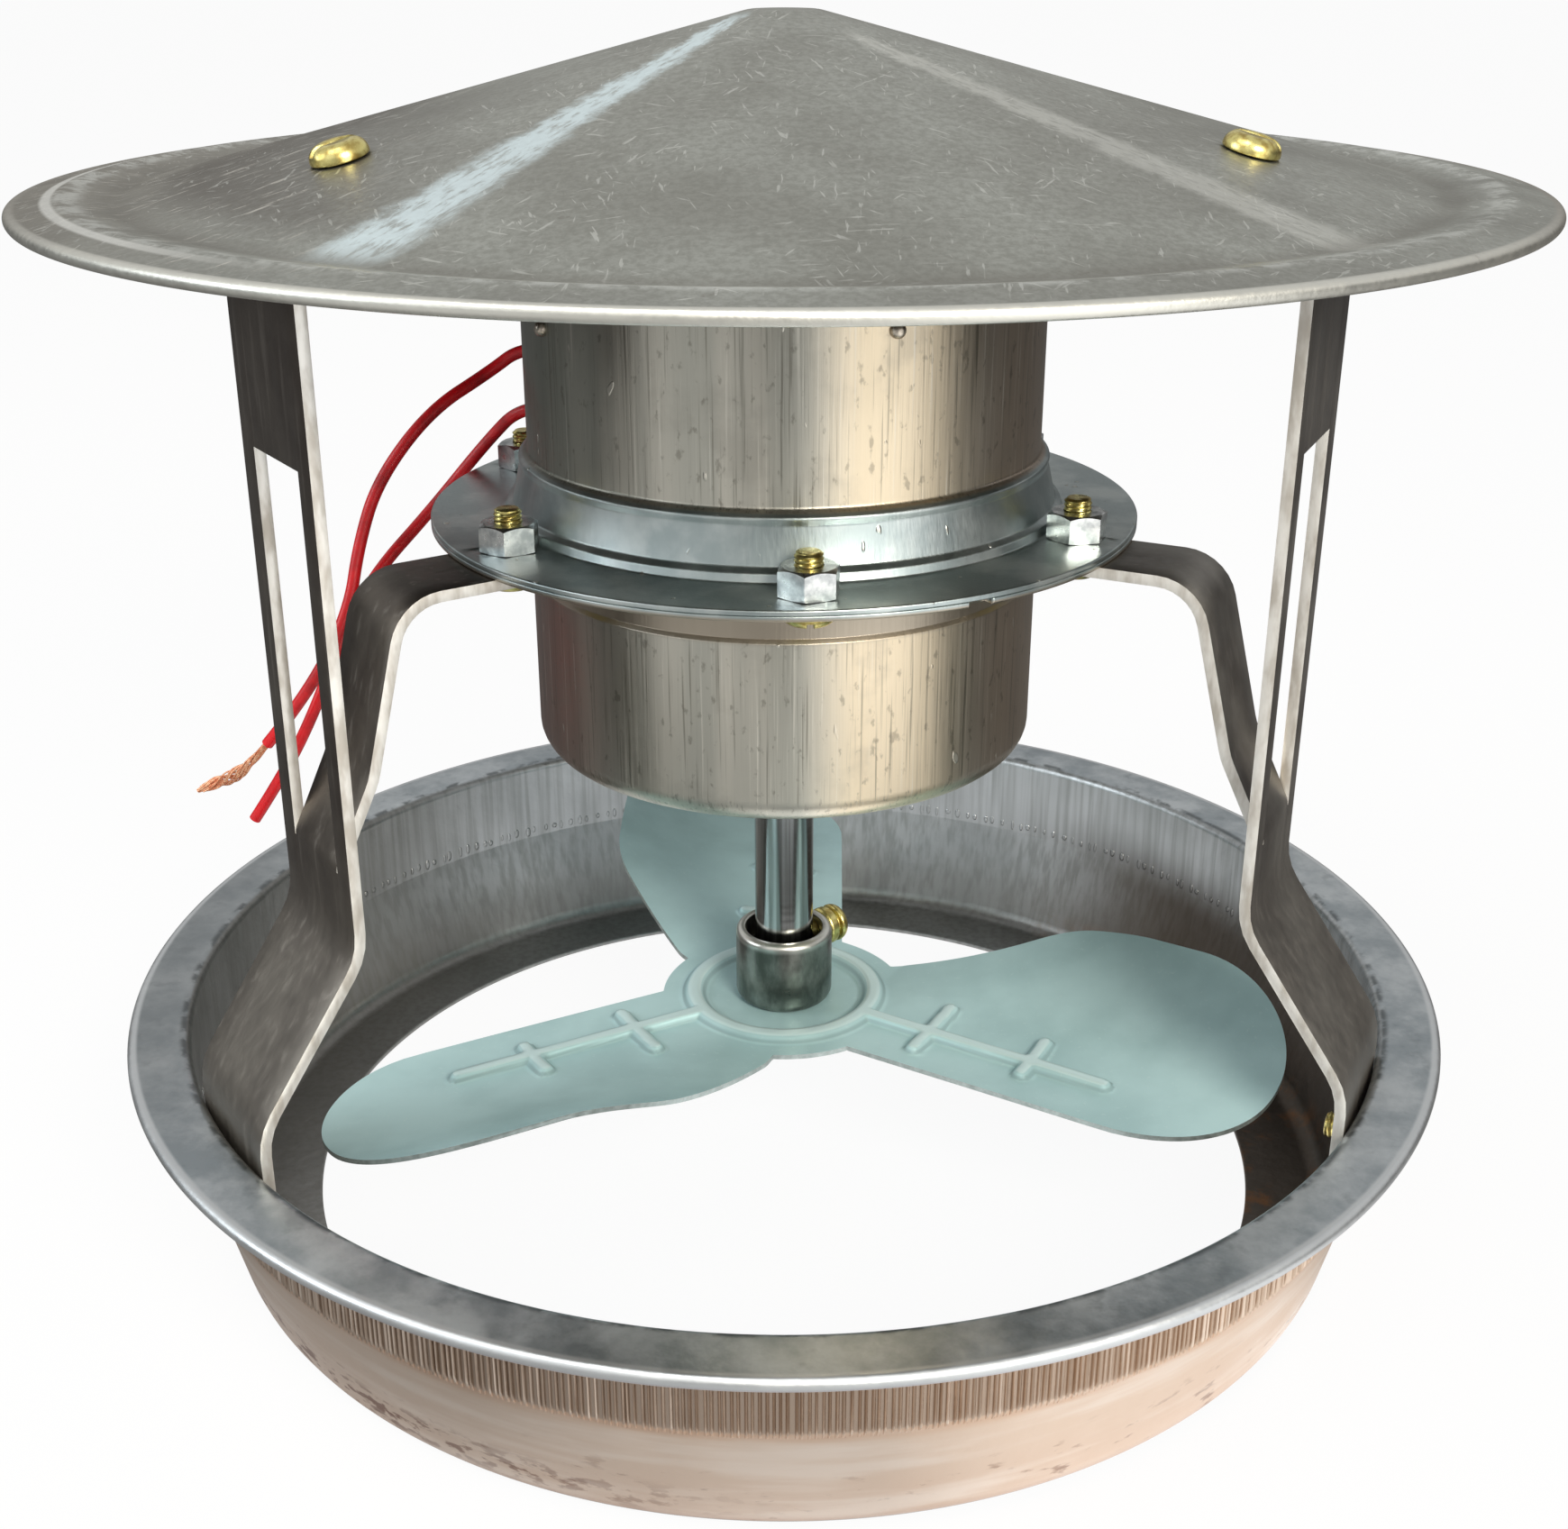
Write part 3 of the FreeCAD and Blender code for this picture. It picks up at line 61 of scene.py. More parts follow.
# Viewpoint: the photograph's, in front of the fan and a little above its cap, level from side to side.
VIEW_DISTANCE = 0.3639
VIEW_HEIGHT = 0.2435
VIEW_PITCH = 23.1
VIEW_LENS = 45.10
camera_data = bpy.data.cameras.new("viewpoint")
camera_data.lens = VIEW_LENS
camera_data.clip_start = 0.01
camera = bpy.data.objects.new("viewpoint", camera_data)
bpy.context.scene.collection.objects.link(camera)
camera.location = (0, -VIEW_DISTANCE, VIEW_HEIGHT)
camera.rotation_euler = (math.radians(90 - VIEW_PITCH), 0, 0)
bpy.context.scene.camera = camera
bpy.context.scene.view_settings.view_transform = "Standard"


# Lead wires: two limp stranded wires in thin red insulation. They come out of the upper can through
# rubber grommets and hang to the left in loose curves. Both are cut off, and the first is stripped.
MM = 0.001
WIRE_DIAMETER = 0.0024
WIRE_FALLS = {
    "red_wire_upper": ("lead_wire_1", 0.106, [
        (-0.0432, 0.0157, 0.1687), (-0.0506, 0.0184, 0.1687), (-0.0575, 0.0185, 0.1636),
        (-0.0683, 0.011, 0.1577), (-0.0785, 0.007, 0.145), (-0.0826, 0.004, 0.1332),
        (-0.0848, 0.0, 0.1205), (-0.0932, -0.004, 0.1052), (-0.103, -0.002, 0.0936)]),
    "red_wire_lower": ("lead_wire_2", 0.1153, [
        (-0.0432, 0.0157, 0.1573), (-0.0512, 0.0186, 0.1573), (-0.0596, 0.025, 0.1485),
        (-0.0717, 0.0225, 0.1345), (-0.0822, 0.0146, 0.124), (-0.0878, 0.006, 0.1139),
        (-0.094, 0.002, 0.0989), (-0.1011, 0.002, 0.0859), (-0.1084, 0.002, 0.0753)]),
}


class Signal:
    """One output of a shader or geometry node. Sums on it add Math nodes, node() adds any other."""

    def __init__(self, tree, socket=None):
        self.tree = tree
        self.socket = socket

    def node(self, kind, settings=None, sockets=None, output=0):
        made = self.tree.nodes.new(kind)
        for name, setting in (settings or {}).items():
            setattr(made, name, setting)
        for key, value in (sockets or {}).items():
            if isinstance(value, Signal):
                self.tree.links.new(value.socket, made.inputs[key])
            else:
                made.inputs[key].default_value = value
        return Signal(self.tree, made.outputs[output])

    def maths(self, operation, first, second=0.0):
        return self.node("ShaderNodeMath", {"operation": operation}, {0: first, 1: second})

    def __add__(self, other):
        return self.maths("ADD", self, other)

    def __sub__(self, other):
        return self.maths("SUBTRACT", self, other)

    def __rsub__(self, other):
        return self.maths("SUBTRACT", other, self)

    def __mul__(self, other):
        return self.maths("MULTIPLY", self, other)

    def __truediv__(self, other):
        return self.maths("DIVIDE", self, other)

    __radd__ = __add__
    __rmul__ = __mul__


def seen(red, green, blue):
    """A colour as it is seen, 0 to 255, turned into the shader's linear values."""
    shares = [channel / 255 for channel in (red, green, blue)]
    linear = [share / 12.92 if share <= 0.04045 else ((share + 0.055) / 1.055) ** 2.4 for share in shares]
    return (*linear, 1.0)


def new_finish(name, metallic, roughness):
    """A new material, its shader, and the place on the object in millimetres."""
    material = bpy.data.materials.new(name)
    material.use_nodes = True
    shader = material.node_tree.nodes["Principled BSDF"]
    shader.inputs["Metallic"].default_value = metallic
    shader.inputs["Roughness"].default_value = roughness
    spot = Signal(material.node_tree).node("ShaderNodeTexCoord", output="Object")
    place = spot.node("ShaderNodeVectorMath", {"operation": "SCALE"}, {0: spot, "Scale": 1 / MM})
    return material, shader, place


def apply_finish(shader, **signals):
    """Link signals to the shader: colour, roughness and relief in millimetres."""
    for name, signal in signals.items():
        if name == "relief":
            signal = signal.node("ShaderNodeBump", {}, {"Strength": 1.0, "Distance": MM, "Height": signal})
            name = "normal"
        target = {"colour": "Base Color", "roughness": "Roughness", "normal": "Normal",
                  "metallic": "Metallic"}[name]
        signal.tree.links.new(signal.socket, shader.inputs[target])


def cloud(place, grain, stretch=(1, 1, 1), turn=0, shift=0.0, detail=3, coarseness=0.55):
    """Noise from 0 to 1 whose grain is in millimetres, drawn out along the turned axes."""
    moved = place.node("ShaderNodeMapping", {"vector_type": "TEXTURE"}, {
        "Vector": place, "Location": (20 * shift, 41 * shift, -17 * shift),
        "Rotation": (0, 0, math.radians(turn)), "Scale": [grain * length for length in stretch]})
    return place.node("ShaderNodeTexNoise", {}, {
        "Vector": moved, "Scale": 1.0, "Detail": detail, "Roughness": coarseness})


def span(signal, low, high):
    """0 below low, 1 above high, eased between them; it falls instead where high is below low."""
    return signal.node("ShaderNodeMapRange", {"interpolation_type": "SMOOTHSTEP"},
                       {"Value": signal, "From Min": low, "From Max": high})


def tint(mask, under, over):
    """The first colour where the mask is 0, the second where it is 1."""
    return mask.node("ShaderNodeMix", {"data_type": "RGBA"}, {0: mask, 6: under, 7: over}, 2)


def axis(place, number):
    return place.node("ShaderNodeSeparateXYZ", {}, {0: place}, number)


def radius_of(place):
    """Distance from the fan's axis."""
    flat = place.node("ShaderNodeVectorMath", {"operation": "MULTIPLY"}, {0: place, 1: (1, 1, 0)})
    return flat.node("ShaderNodeVectorMath", {"operation": "LENGTH"}, {0: flat}, 1)


def new_piece(name, data, material=None):
    piece = bpy.data.objects.new(name, data)
    bpy.context.scene.collection.objects.link(piece)
    if material:
        data.materials.append(material)
    return piece


def as_plain_mesh(piece):
    """The piece's evaluated form as a plain mesh, its modifiers used up."""
    graph = bpy.context.evaluated_depsgraph_get()
    graph.update()
    mesh = bpy.data.meshes.new_from_object(piece.evaluated_get(graph), depsgraph=graph)
    if piece.type == "CURVE":
        name = piece.name
        bpy.data.objects.remove(piece)
        return new_piece(name, mesh)
    piece.modifiers.clear()
    piece.data = mesh
    return piece


def hang_wire(name, route, material):
    line = bpy.data.curves.new(name, "CURVE")
    line.dimensions = "3D"
    line.bevel_depth = WIRE_DIAMETER / 2
    line.bevel_resolution = 6
    line.resolution_u = 16
    line.use_fill_caps = True
    spline = line.splines.new("NURBS")
    spline.points.add(len(route) - 1)
    for point, spot in zip(spline.points, route):
        point.co = (*spot, 1)
    spline.order_u = 3
    spline.use_endpoint_u = True
    return new_piece(name, line, material)


red_insulation, shader, place = new_finish("red_insulation", 0.0, 0.38)
scuffs = cloud(place, 5, detail=4)
apply_finish(shader, colour=tint(span(scuffs, 0.4, 0.75), seen(222, 20, 30), seen(172, 10, 20)),
             roughness=span(scuffs, 0.2, 0.9) * 0.25 + 0.28, relief=scuffs * 0.03)
wires = {name: hang_wire(name, route, red_insulation) for name, (node, length, route) in WIRE_FALLS.items()}

# Bare strands at the end of the upper wire: twenty fine copper wires, loosely twisted by hand, that
# spread into a flat ribbon and draw together again near their ends.
STRAND_COUNT = 20
STRAND_RADIUS = 0.17
STRAND_TURNS = 1.1
BUNDLE_NARROW = 0.55
BUNDLE_WIDE = 1.5
BUNDLE_FLAT = 0.4
copper, shader, place = new_finish("bare_copper", 0.7, 0.36)
tarnish = cloud(place, 0.8, detail=2)
apply_finish(shader, colour=tint(span(tarnish, 0.35, 0.65), seen(250, 196, 158), seen(228, 150, 112)),
             roughness=tarnish * 0.3 + 0.22)
fall = bpy.data.curves.new("strand_fall", "CURVE")
fall.dimensions = "3D"
fall.resolution_u = 12
fall_line = fall.splines.new("NURBS")
fall_route = [(-0.1029, -0.002, 0.0937), (-0.1064, -0.0016, 0.0896), (-0.1108, -0.0012, 0.0862),
              (-0.1148, -0.001, 0.0846), (-0.1184, -0.001, 0.0828)]
fall_line.points.add(len(fall_route) - 1)
for point, spot in zip(fall_line.points, fall_route):
    point.co = (*spot, 1)
fall_line.order_u = 3
fall_line.use_endpoint_u = True
fall_piece = as_plain_mesh(new_piece("strand_fall", fall))
fall_spots = [vertex.co.copy() for vertex in fall_piece.data.vertices]
bpy.data.objects.remove(fall_piece)
bundle = bpy.data.curves.new("bare_strands", "CURVE")
bundle.dimensions = "3D"
bundle.bevel_depth = STRAND_RADIUS * MM
bundle.bevel_resolution = 2
bundle.use_fill_caps = True
twist = random.Random(7)
for strand in range(STRAND_COUNT):
    phase = twist.random()
    own_reach = 0.35 + 0.65 * twist.random()
    kept = len(fall_spots) - twist.randrange(5)
    spline = bundle.splines.new("POLY")
    spline.points.add(kept - 1)
    for step, point in enumerate(spline.points):
        share = step / (len(fall_spots) - 1)
        ahead = (fall_spots[min(step + 1, len(fall_spots) - 1)] - fall_spots[max(step - 1, 0)]).normalized()
        deep = Vector((0, 1, 0))
        wide = ahead.cross(deep)
        angle = 2 * math.pi * (phase + STRAND_TURNS * share)
        reach = own_reach * MM * (BUNDLE_NARROW + (BUNDLE_WIDE - BUNDLE_NARROW) * math.sin(math.pi * share ** 1.3))
        offset = wide * math.cos(angle) + deep * math.sin(angle) * BUNDLE_FLAT
        point.co = (*(fall_spots[step] + offset * reach), 1)
strands = as_plain_mesh(new_piece("bare_strands", bundle, copper))
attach(strands, "housing")
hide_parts("lead_strands")

for name, (node, length, route) in WIRE_FALLS.items():
    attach(wires[name], "housing")
    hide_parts(node)


# Base ring: one pressed sheet of galvanised steel with a flat rim rolled over at its edge, an upright
# wall, a tapering collar and an in-turned lip round the flue opening.
RIM_RADIUS = 132
RING_HEIGHT = 45
RING_SHEET = 1
HEM = 2.6
WALL_RADIUS = 121
WALL_FOOT = 25
COLLAR_FOOT_RADIUS = 115.3
OPENING_RADIUS = 98.7
STRUT_AZIMUTHS = {"back": 94, "left": 214, "right": 334}
BASE_SCREW_HEIGHT = 36
THREAD_RADIUS = 2.5
THREAD_PLAY = 0.05


def with_bends(corners, step=12):
    """Corners given as across, up and bend radius, each bend drawn as an arc."""
    path = []
    for number, corner in enumerate(corners):
        here = Vector(corner[:2])
        if len(corner) < 3:
            path.append(here)
            continue
        before = (here - Vector(corners[number - 1][:2])).normalized()
        after = (Vector(corners[(number + 1) % len(corners)][:2]) - here).normalized()
        side = math.copysign(1, before.cross(after))
        half_turn = before.angle(after) / 2
        start = here - before * corner[2] * math.tan(half_turn)
        centre = start + Vector((-before.y, before.x)) * side * corner[2]
        steps = max(2, math.ceil(math.degrees(2 * half_turn) / step))
        for part in range(steps + 1):
            spin = Matrix.Rotation(side * 2 * half_turn * part / steps, 2)
            path.append(centre + spin @ (start - centre))
    return path


def close_shape(name, shape, sharp=32):
    """A mesh in metres from a shape in millimetres, its faces outwards and its crisp edges kept."""
    bmesh.ops.remove_doubles(shape, verts=shape.verts, dist=1e-4)
    bmesh.ops.recalc_face_normals(shape, faces=shape.faces)
    bmesh.ops.scale(shape, verts=shape.verts, vec=(MM, MM, MM))
    mesh = bpy.data.meshes.new(name)
    shape.to_mesh(mesh)
    shape.free()
    mesh.shade_smooth()
    mesh.set_sharp_from_angle(angle=math.radians(sharp))
    return mesh


def turned(name, outline, sides=240, form=None):
    """A closed outline turned round the upright axis. The form may shift each point of it."""
    shape = bmesh.new()
    rows = []
    for spot in outline:
        count = 1 if spot.x < 1e-6 else sides
        row = []
        for side in range(count):
            angle = 2 * math.pi * side / sides
            across, up = form(angle, spot.x, spot.y) if form else (spot.x, spot.y)
            row.append(shape.verts.new((across * math.cos(angle), across * math.sin(angle), up)))
        rows.append(row)
    for row, other in zip(rows, rows[1:] + rows[:1]):
        if len(row) == 1 and len(other) == 1:
            continue
        for side in range(sides):
            beside = (side + 1) % sides
            corners = [row[side % len(row)], row[beside % len(row)],
                       other[beside % len(other)], other[side % len(other)]]
            shape.faces.new(dict.fromkeys(corners))
    return close_shape(name, shape)


def pins(name, holes):
    """Round cutters, each given as its middle, direction, radius and length."""
    shape = bmesh.new()
    for middle, direction, radius, length in holes:
        lean = Vector(direction).to_track_quat("Z", "Y").to_matrix().to_4x4()
        bmesh.ops.create_cone(shape, cap_ends=True, segments=32, radius1=radius, radius2=radius,
                              depth=length, matrix=Matrix.Translation(middle) @ lean)
    return new_piece(name, close_shape(name, shape))


def cut_out(piece, cutter):
    """Take the cutter's shape out of the piece and clear the cutter away."""
    cut = piece.modifiers.new("cut", "BOOLEAN")
    cut.operation = "DIFFERENCE"
    cut.solver = "EXACT"
    cut.object = cutter
    as_plain_mesh(piece)
    bpy.data.objects.remove(cutter)
    return piece


def around(azimuth, radius, height):
    """A place at an azimuth in degrees, a distance from the axis and a height."""
    angle = math.radians(azimuth)
    return Vector((radius * math.cos(angle), radius * math.sin(angle), height))


def fit(piece, body, slot, *nodes):
    """Hang the piece on its body and let it stand for its solids. The slot is not used."""
    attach(piece, body)
    if nodes:
        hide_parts(*nodes)
    return piece


ring_steel, shader, place = new_finish("ring_galvanised_steel", 1.0, 0.42)
height = axis(place, 2)
radius = radius_of(place)
east = axis(place, 0)
below_wall = height.maths("MAXIMUM", WALL_FOOT - height, 0.0)
outside = span(below_wall * 0.228 + radius, WALL_RADIUS - 0.7, WALL_RADIUS - 0.3)
outside = outside * span(height, RING_HEIGHT - 1.6, RING_HEIGHT - 2.4)
collar = outside * span(height, WALL_FOOT + 0.6, WALL_FOOT - 0.2)
mottle = cloud(place, 14, detail=5, coarseness=0.65)
blots = cloud(place, 5, shift=0.7, detail=3)
streaks = cloud(place, 1.6, (1, 1, 25), shift=0.3, detail=2)
zinc = tint(span(mottle, 0.32, 0.7), seen(158, 166, 170), seen(204, 209, 211))
zinc = tint(span(blots, 0.58, 0.74) * 0.35, zinc, seen(122, 130, 134))
# Painted shade: the rim's top is darker towards the far left.
zinc = tint(span(east, -95, -128) * 0.5, zinc, seen(132, 134, 134))
zinc = tint(span(radius, WALL_RADIUS + 1.6, WALL_RADIUS + 0.4) * span(blots, 0.42, 0.58) * 0.7, zinc, seen(78, 82, 82))
inner = span(radius, WALL_RADIUS + 0.3, WALL_RADIUS - 0.4) * (1 - outside)
wall = tint(span(streaks, 0.35, 0.7), seen(206, 210, 212), seen(176, 180, 180))
wall = tint(span(cloud(place, 40, shift=0.2), 0.35, 0.65) * 0.4, wall, seen(160, 164, 164))
# Painted shade inside the ring: darker towards the left, darker towards the bottom, and deep brown low on the right.
wall = tint(span(east, -60, -112) * 0.7, wall, seen(118, 115, 108))
wall = tint(span(height, 20, 6) * 0.5, wall, seen(132, 128, 122))
wall = tint(span(east, 50, 100) * span(height, 38, 20) * 0.9, wall, seen(66, 54, 42))
wall = tint(span(east, 50, 100) * span(height, 9, 2) * span(mottle, 0.48, 0.62) * 0.7, wall, seen(128, 88, 56))
zinc = tint(inner, zinc, wall)
fluting = cloud(place, 1.1, (1, 1, 30), shift=0.9, detail=1)
worn_run = span(cloud(place, 9, (1, 1, 6), shift=1.7, detail=2), 0.4, 0.6) * 0.6 + 0.4
crest = span(radius, WALL_RADIUS + 0.1, WALL_RADIUS + 0.42)
tan = tint(crest, seen(180, 164, 150), tint(span(fluting, 0.45, 0.62) * worn_run, seen(190, 172, 156), seen(248, 234, 220)))
tan = tint(collar, tan, tint(span(height, 3, 20), seen(214, 194, 178), seen(226, 208, 192)))
tan = tint(collar * span(height, 22, 25) * 0.6, tan, seen(206, 168, 138))
# Painted reflection: a warmer, lighter tan towards the right.
tan = tint(span(east, -60, 110) * 0.25, tan, seen(234, 196, 160))
spots = span(cloud(place, 7, (1, 1, 0.35), shift=1.1, detail=5), 0.6, 0.7)
tan = tint(spots * collar * span(height, 20, 6) * 0.7, tan, seen(142, 108, 90))
rust = span(cloud(place, 4, (1, 1, 0.4), shift=2.6, detail=4), 0.5, 0.6)
tan = tint(rust * collar * span(height, 12, 7) * span(height, 1, 5) * span(east, 10, -60) * 0.8, tan, seen(120, 80, 64))
# Painted highlight: pale sheen streaks across the collar.
painted_sheen = span(cloud(place, 5, (9, 9, 1), shift=3.4, detail=3), 0.45, 0.7)
tan = tint(painted_sheen * collar * 0.5, tan, seen(244, 234, 224))
tan = tint(outside * span(height, 4.5, 0.5) * 0.8, tan, seen(176, 140, 122))
steel = tint(outside, zinc, tan)
# Painted light on the rolled bead: a pale painted highlight all round it and painted shade on its lower side.
bead = span(radius, RIM_RADIUS - 2.2, RIM_RADIUS - 1.4)
steel = tint(bead * 0.9, steel, seen(218, 221, 222))
steel = tint(bead * span(height, RING_HEIGHT - 1.4, RING_HEIGHT - 2.0) * 0.6, steel, seen(186, 182, 188))
apply_finish(shader, colour=steel, roughness=mottle * 0.3 + 0.26,
             relief=blots * 0.16)

ring = new_piece("pressed_ring", turned("pressed_ring", with_bends([
    (OPENING_RADIUS, 0, 0.3),
    (COLLAR_FOOT_RADIUS, 0, 5),
    (WALL_RADIUS, WALL_FOOT, 1.5),
    (WALL_RADIUS, RING_HEIGHT - RING_SHEET, 1),
    (RIM_RADIUS - HEM, RING_HEIGHT - RING_SHEET),
    (RIM_RADIUS - HEM, RING_HEIGHT - HEM, 0.48 * HEM),
    (RIM_RADIUS, RING_HEIGHT - HEM, 0.48 * HEM),
    (RIM_RADIUS, RING_HEIGHT, 0.48 * HEM),
    (WALL_RADIUS - RING_SHEET, RING_HEIGHT, 2),
    (WALL_RADIUS - RING_SHEET, WALL_FOOT, 1.5),
    (COLLAR_FOOT_RADIUS - RING_SHEET, RING_SHEET, 4),
    (OPENING_RADIUS, RING_SHEET, 0.3),
]), sides=360), ring_steel)
cut_out(ring, pins("ring_drill", [
    (around(azimuth, WALL_RADIUS, BASE_SCREW_HEIGHT), around(azimuth, 1, 0), THREAD_RADIUS + THREAD_PLAY, 6)
    for azimuth in STRUT_AZIMUTHS.values()]))
fit(ring, "housing", "ring_sheet", "base_ring")

# Flutes: the upright wall is knurled outside into about seven hundred fine upright ridges, rolled in
# by a wheel, so they are not all alike. Inside, the wheel's edge left a row of small dimples.
FLUTE_COUNT = 690
FLUTE_WIDTH = 0.66
FLUTE_HEIGHT = 0.62
FLUTE_TOP = 43.4
DIMPLE_COUNT = 300
DIMPLE_WIDTH = 1.1
DIMPLE_LENGTH = 2.1
DIMPLE_RISE = 0.2


def set_out_tree():
    """A Geometry Nodes tree that sets a piece on each point, turned as the point says."""
    tree = bpy.data.node_groups.new("set_out_pieces", "GeometryNodeTree")
    tree.interface.new_socket("Points", in_out="INPUT", socket_type="NodeSocketGeometry")
    tree.interface.new_socket("Piece", in_out="INPUT", socket_type="NodeSocketObject")
    tree.interface.new_socket("Size variation", in_out="INPUT", socket_type="NodeSocketVector")
    tree.interface.new_socket("Seed", in_out="INPUT", socket_type="NodeSocketInt")
    tree.interface.new_socket("Finish", in_out="INPUT", socket_type="NodeSocketMaterial")
    tree.interface.new_socket("Pieces", in_out="OUTPUT", socket_type="NodeSocketGeometry")
    entry = tree.nodes.new("NodeGroupInput")
    points, piece, variation, seed, finish = (Signal(tree, entry.outputs[number]) for number in range(5))
    smallest = points.node("ShaderNodeVectorMath", {"operation": "SUBTRACT"}, {0: (1, 1, 1), 1: variation})
    largest = points.node("ShaderNodeVectorMath", {"operation": "ADD"}, {0: (1, 1, 1), 1: variation})
    size = points.node("FunctionNodeRandomValue", {"data_type": "FLOAT_VECTOR"},
                       {0: smallest, 1: largest, "Seed": seed})
    turn = points.node("GeometryNodeInputNamedAttribute", {"data_type": "FLOAT_VECTOR"}, {"Name": "turn"})
    turn = points.node("FunctionNodeEulerToRotation", {}, {0: turn})
    form = points.node("GeometryNodeObjectInfo", {}, {"Object": piece}, "Geometry")
    pieces = points.node("GeometryNodeInstanceOnPoints", {}, {
        "Points": points, "Instance": form, "Rotation": turn, "Scale": size})
    pieces = points.node("GeometryNodeRealizeInstances", {}, {"Geometry": pieces})
    pieces = points.node("GeometryNodeSetMaterial", {}, {"Geometry": pieces, "Material": finish})
    leave = tree.nodes.new("NodeGroupOutput")
    tree.links.new(pieces.socket, leave.inputs[0])
    return tree


SET_OUT = set_out_tree()


def set_out(name, piece, places, finish, variation=(0, 0, 0), seed=1):
    """One mesh of the same piece at many places, each a spot in millimetres and three turns in degrees."""
    points = bpy.data.meshes.new(name)
    points.from_pydata([Vector(spot) * MM for spot, turns in places], [], [])
    turn = points.attributes.new("turn", "FLOAT_VECTOR", "POINT")
    for record, (spot, turns) in zip(turn.data, places):
        record.vector = [math.radians(angle) for angle in turns]
    group = new_piece(name, points)
    steps = group.modifiers.new("set_out", "NODES")
    steps.node_group = SET_OUT
    sizes = {"Piece": piece, "Size variation": variation, "Seed": seed, "Finish": finish}
    for label, size in sizes.items():
        steps[SET_OUT.interface.items_tree[label].identifier] = size
    as_plain_mesh(group)
    bpy.data.objects.remove(piece)
    return group


def half_round_bar(name, width, rise, low, high, sunk=0.15):
    """A short upright bar with a half round face towards +X and rounded ends."""
    shape = bmesh.new()
    rows = []
    for up, share in ((low, 0.0), (low + 1.0, 0.8), (low + 2.2, 1.0), (high - 2.2, 1.0), (high - 1.0, 0.8),
                      (high, 0.0)):
        row = []
        for across, out in ((-0.5, 0.0), (-0.32, 0.7), (0.0, 1.0), (0.32, 0.7), (0.5, 0.0)):
            row.append(shape.verts.new((rise * out * share - sunk * (1 - out * share), across * width, up)))
        rows.append(row)
    for row, other in zip(rows, rows[1:]):
        for one in range(4):
            shape.faces.new((row[one], row[one + 1], other[one + 1], other[one]))
    back = [row[0] for row in rows] + [row[-1] for row in reversed(rows)]
    shape.faces.new(back)
    for row in (rows[0], rows[-1]):
        shape.faces.new(row)
    return new_piece(name, close_shape(name, shape, 60))


wheel = random.Random(5)
flute_places = []
for flute in range(FLUTE_COUNT):
    azimuth = 360 * (flute + 0.35 * wheel.random()) / FLUTE_COUNT
    flute_places.append((around(azimuth, WALL_RADIUS - 0.02, 0), (0, 0, azimuth)))
flutes = set_out("knurled_flutes", half_round_bar("flute", FLUTE_WIDTH, FLUTE_HEIGHT, WALL_FOOT - 0.8, FLUTE_TOP),
                 flute_places, ring_steel, (0.28, 0.2, 0.004), 3)
fit(flutes, "housing", "ring_sheet")


def dimple(name):
    """A low oval bump on a sheet, its crown towards -X."""
    shape = bmesh.new()
    bmesh.ops.create_uvsphere(shape, u_segments=10, v_segments=6, radius=1)
    bmesh.ops.scale(shape, verts=shape.verts, vec=(DIMPLE_RISE, DIMPLE_WIDTH / 2, DIMPLE_LENGTH / 2))
    return new_piece(name, close_shape(name, shape, 180))


dimple_places = []
for number in range(DIMPLE_COUNT):
    azimuth = 360 * (number + 0.5 * wheel.random()) / DIMPLE_COUNT
    height_of = WALL_FOOT + 1.5 + 0.5 * wheel.random()
    dimple_places.append((around(azimuth, WALL_RADIUS - RING_SHEET, height_of), (0, 0, azimuth)))
dimples = set_out("wall_dimples", dimple("dimple"), dimple_places, ring_steel, (0.5, 0.3, 0.35), 8)
fit(dimples, "housing", "ring_sheet")


# Struts: three stamped straps of 2 mm steel, screwed inside the ring's wall below and under the cap
# above. Each has a long tongue cut out of its face and bent in to carry the motor's flange.
STRAP_SHEET = 2
HALF_STRAP = 15
HALF_SLOT = 9.75
HALF_TONGUE = 9.35
STRAP_RADIUS = 97.4
FOOT_RADIUS = 118.01
STRAP_FOOT = 29
SLOT_BOTTOM = 95
SLOT_TOP = 165
STRAP_TOP = 204.0
STRAP_END = (74, 210.17)
BOLT_CIRCLE = 58
FLANGE_JOINT = 142.2
ARM_HEIGHT = FLANGE_JOINT - 2
TONGUE_END = 51.5
TONGUE_CORNER = 0.8 * HALF_TONGUE
FOOT_CORNER = 4
CONE_LEAN = 14.78
CAP_SCREW_RADIUS = 83
CAP_SCREW_SEAT = 210.18


def strut_finish_with_painted_light(name, azimuth, dark, light):
    finish, shader, place = new_finish(name, 1.0, 0.5)
    grain = cloud(place, 2.0, (1, 1, 14), detail=4)
    mottle = cloud(place, 22, shift=azimuth / 40, detail=5)
    colour = tint(span(mottle, 0.3, 0.7), dark, light)
    colour = tint(span(grain, 0.55, 0.75) * 0.35, colour, seen(178, 172, 164))
    # Painted shade towards the top, under the cap, and painted light towards the foot.
    colour = tint(span(axis(place, 2), 150, 205) * 0.45, colour, seen(88, 76, 68))
    colour = tint(span(axis(place, 2), 96, 70) * 0.45, colour, seen(176, 170, 160))
    apply_finish(shader, colour=colour, roughness=grain * 0.25 + 0.32, relief=mottle * 0.2)
    return finish


# The struts' sheared edges: bare steel, its colour raised into a painted highlight along the edges.
cut_edge, shader, place = new_finish("strut_cut_edge", 0.6, 0.3)
shear = cloud(place, 3, (1, 1, 3), detail=3)
apply_finish(shader, colour=tint(span(shear, 0.35, 0.7), seen(240, 238, 232), seen(196, 190, 180)),
             roughness=shear * 0.2 + 0.3)
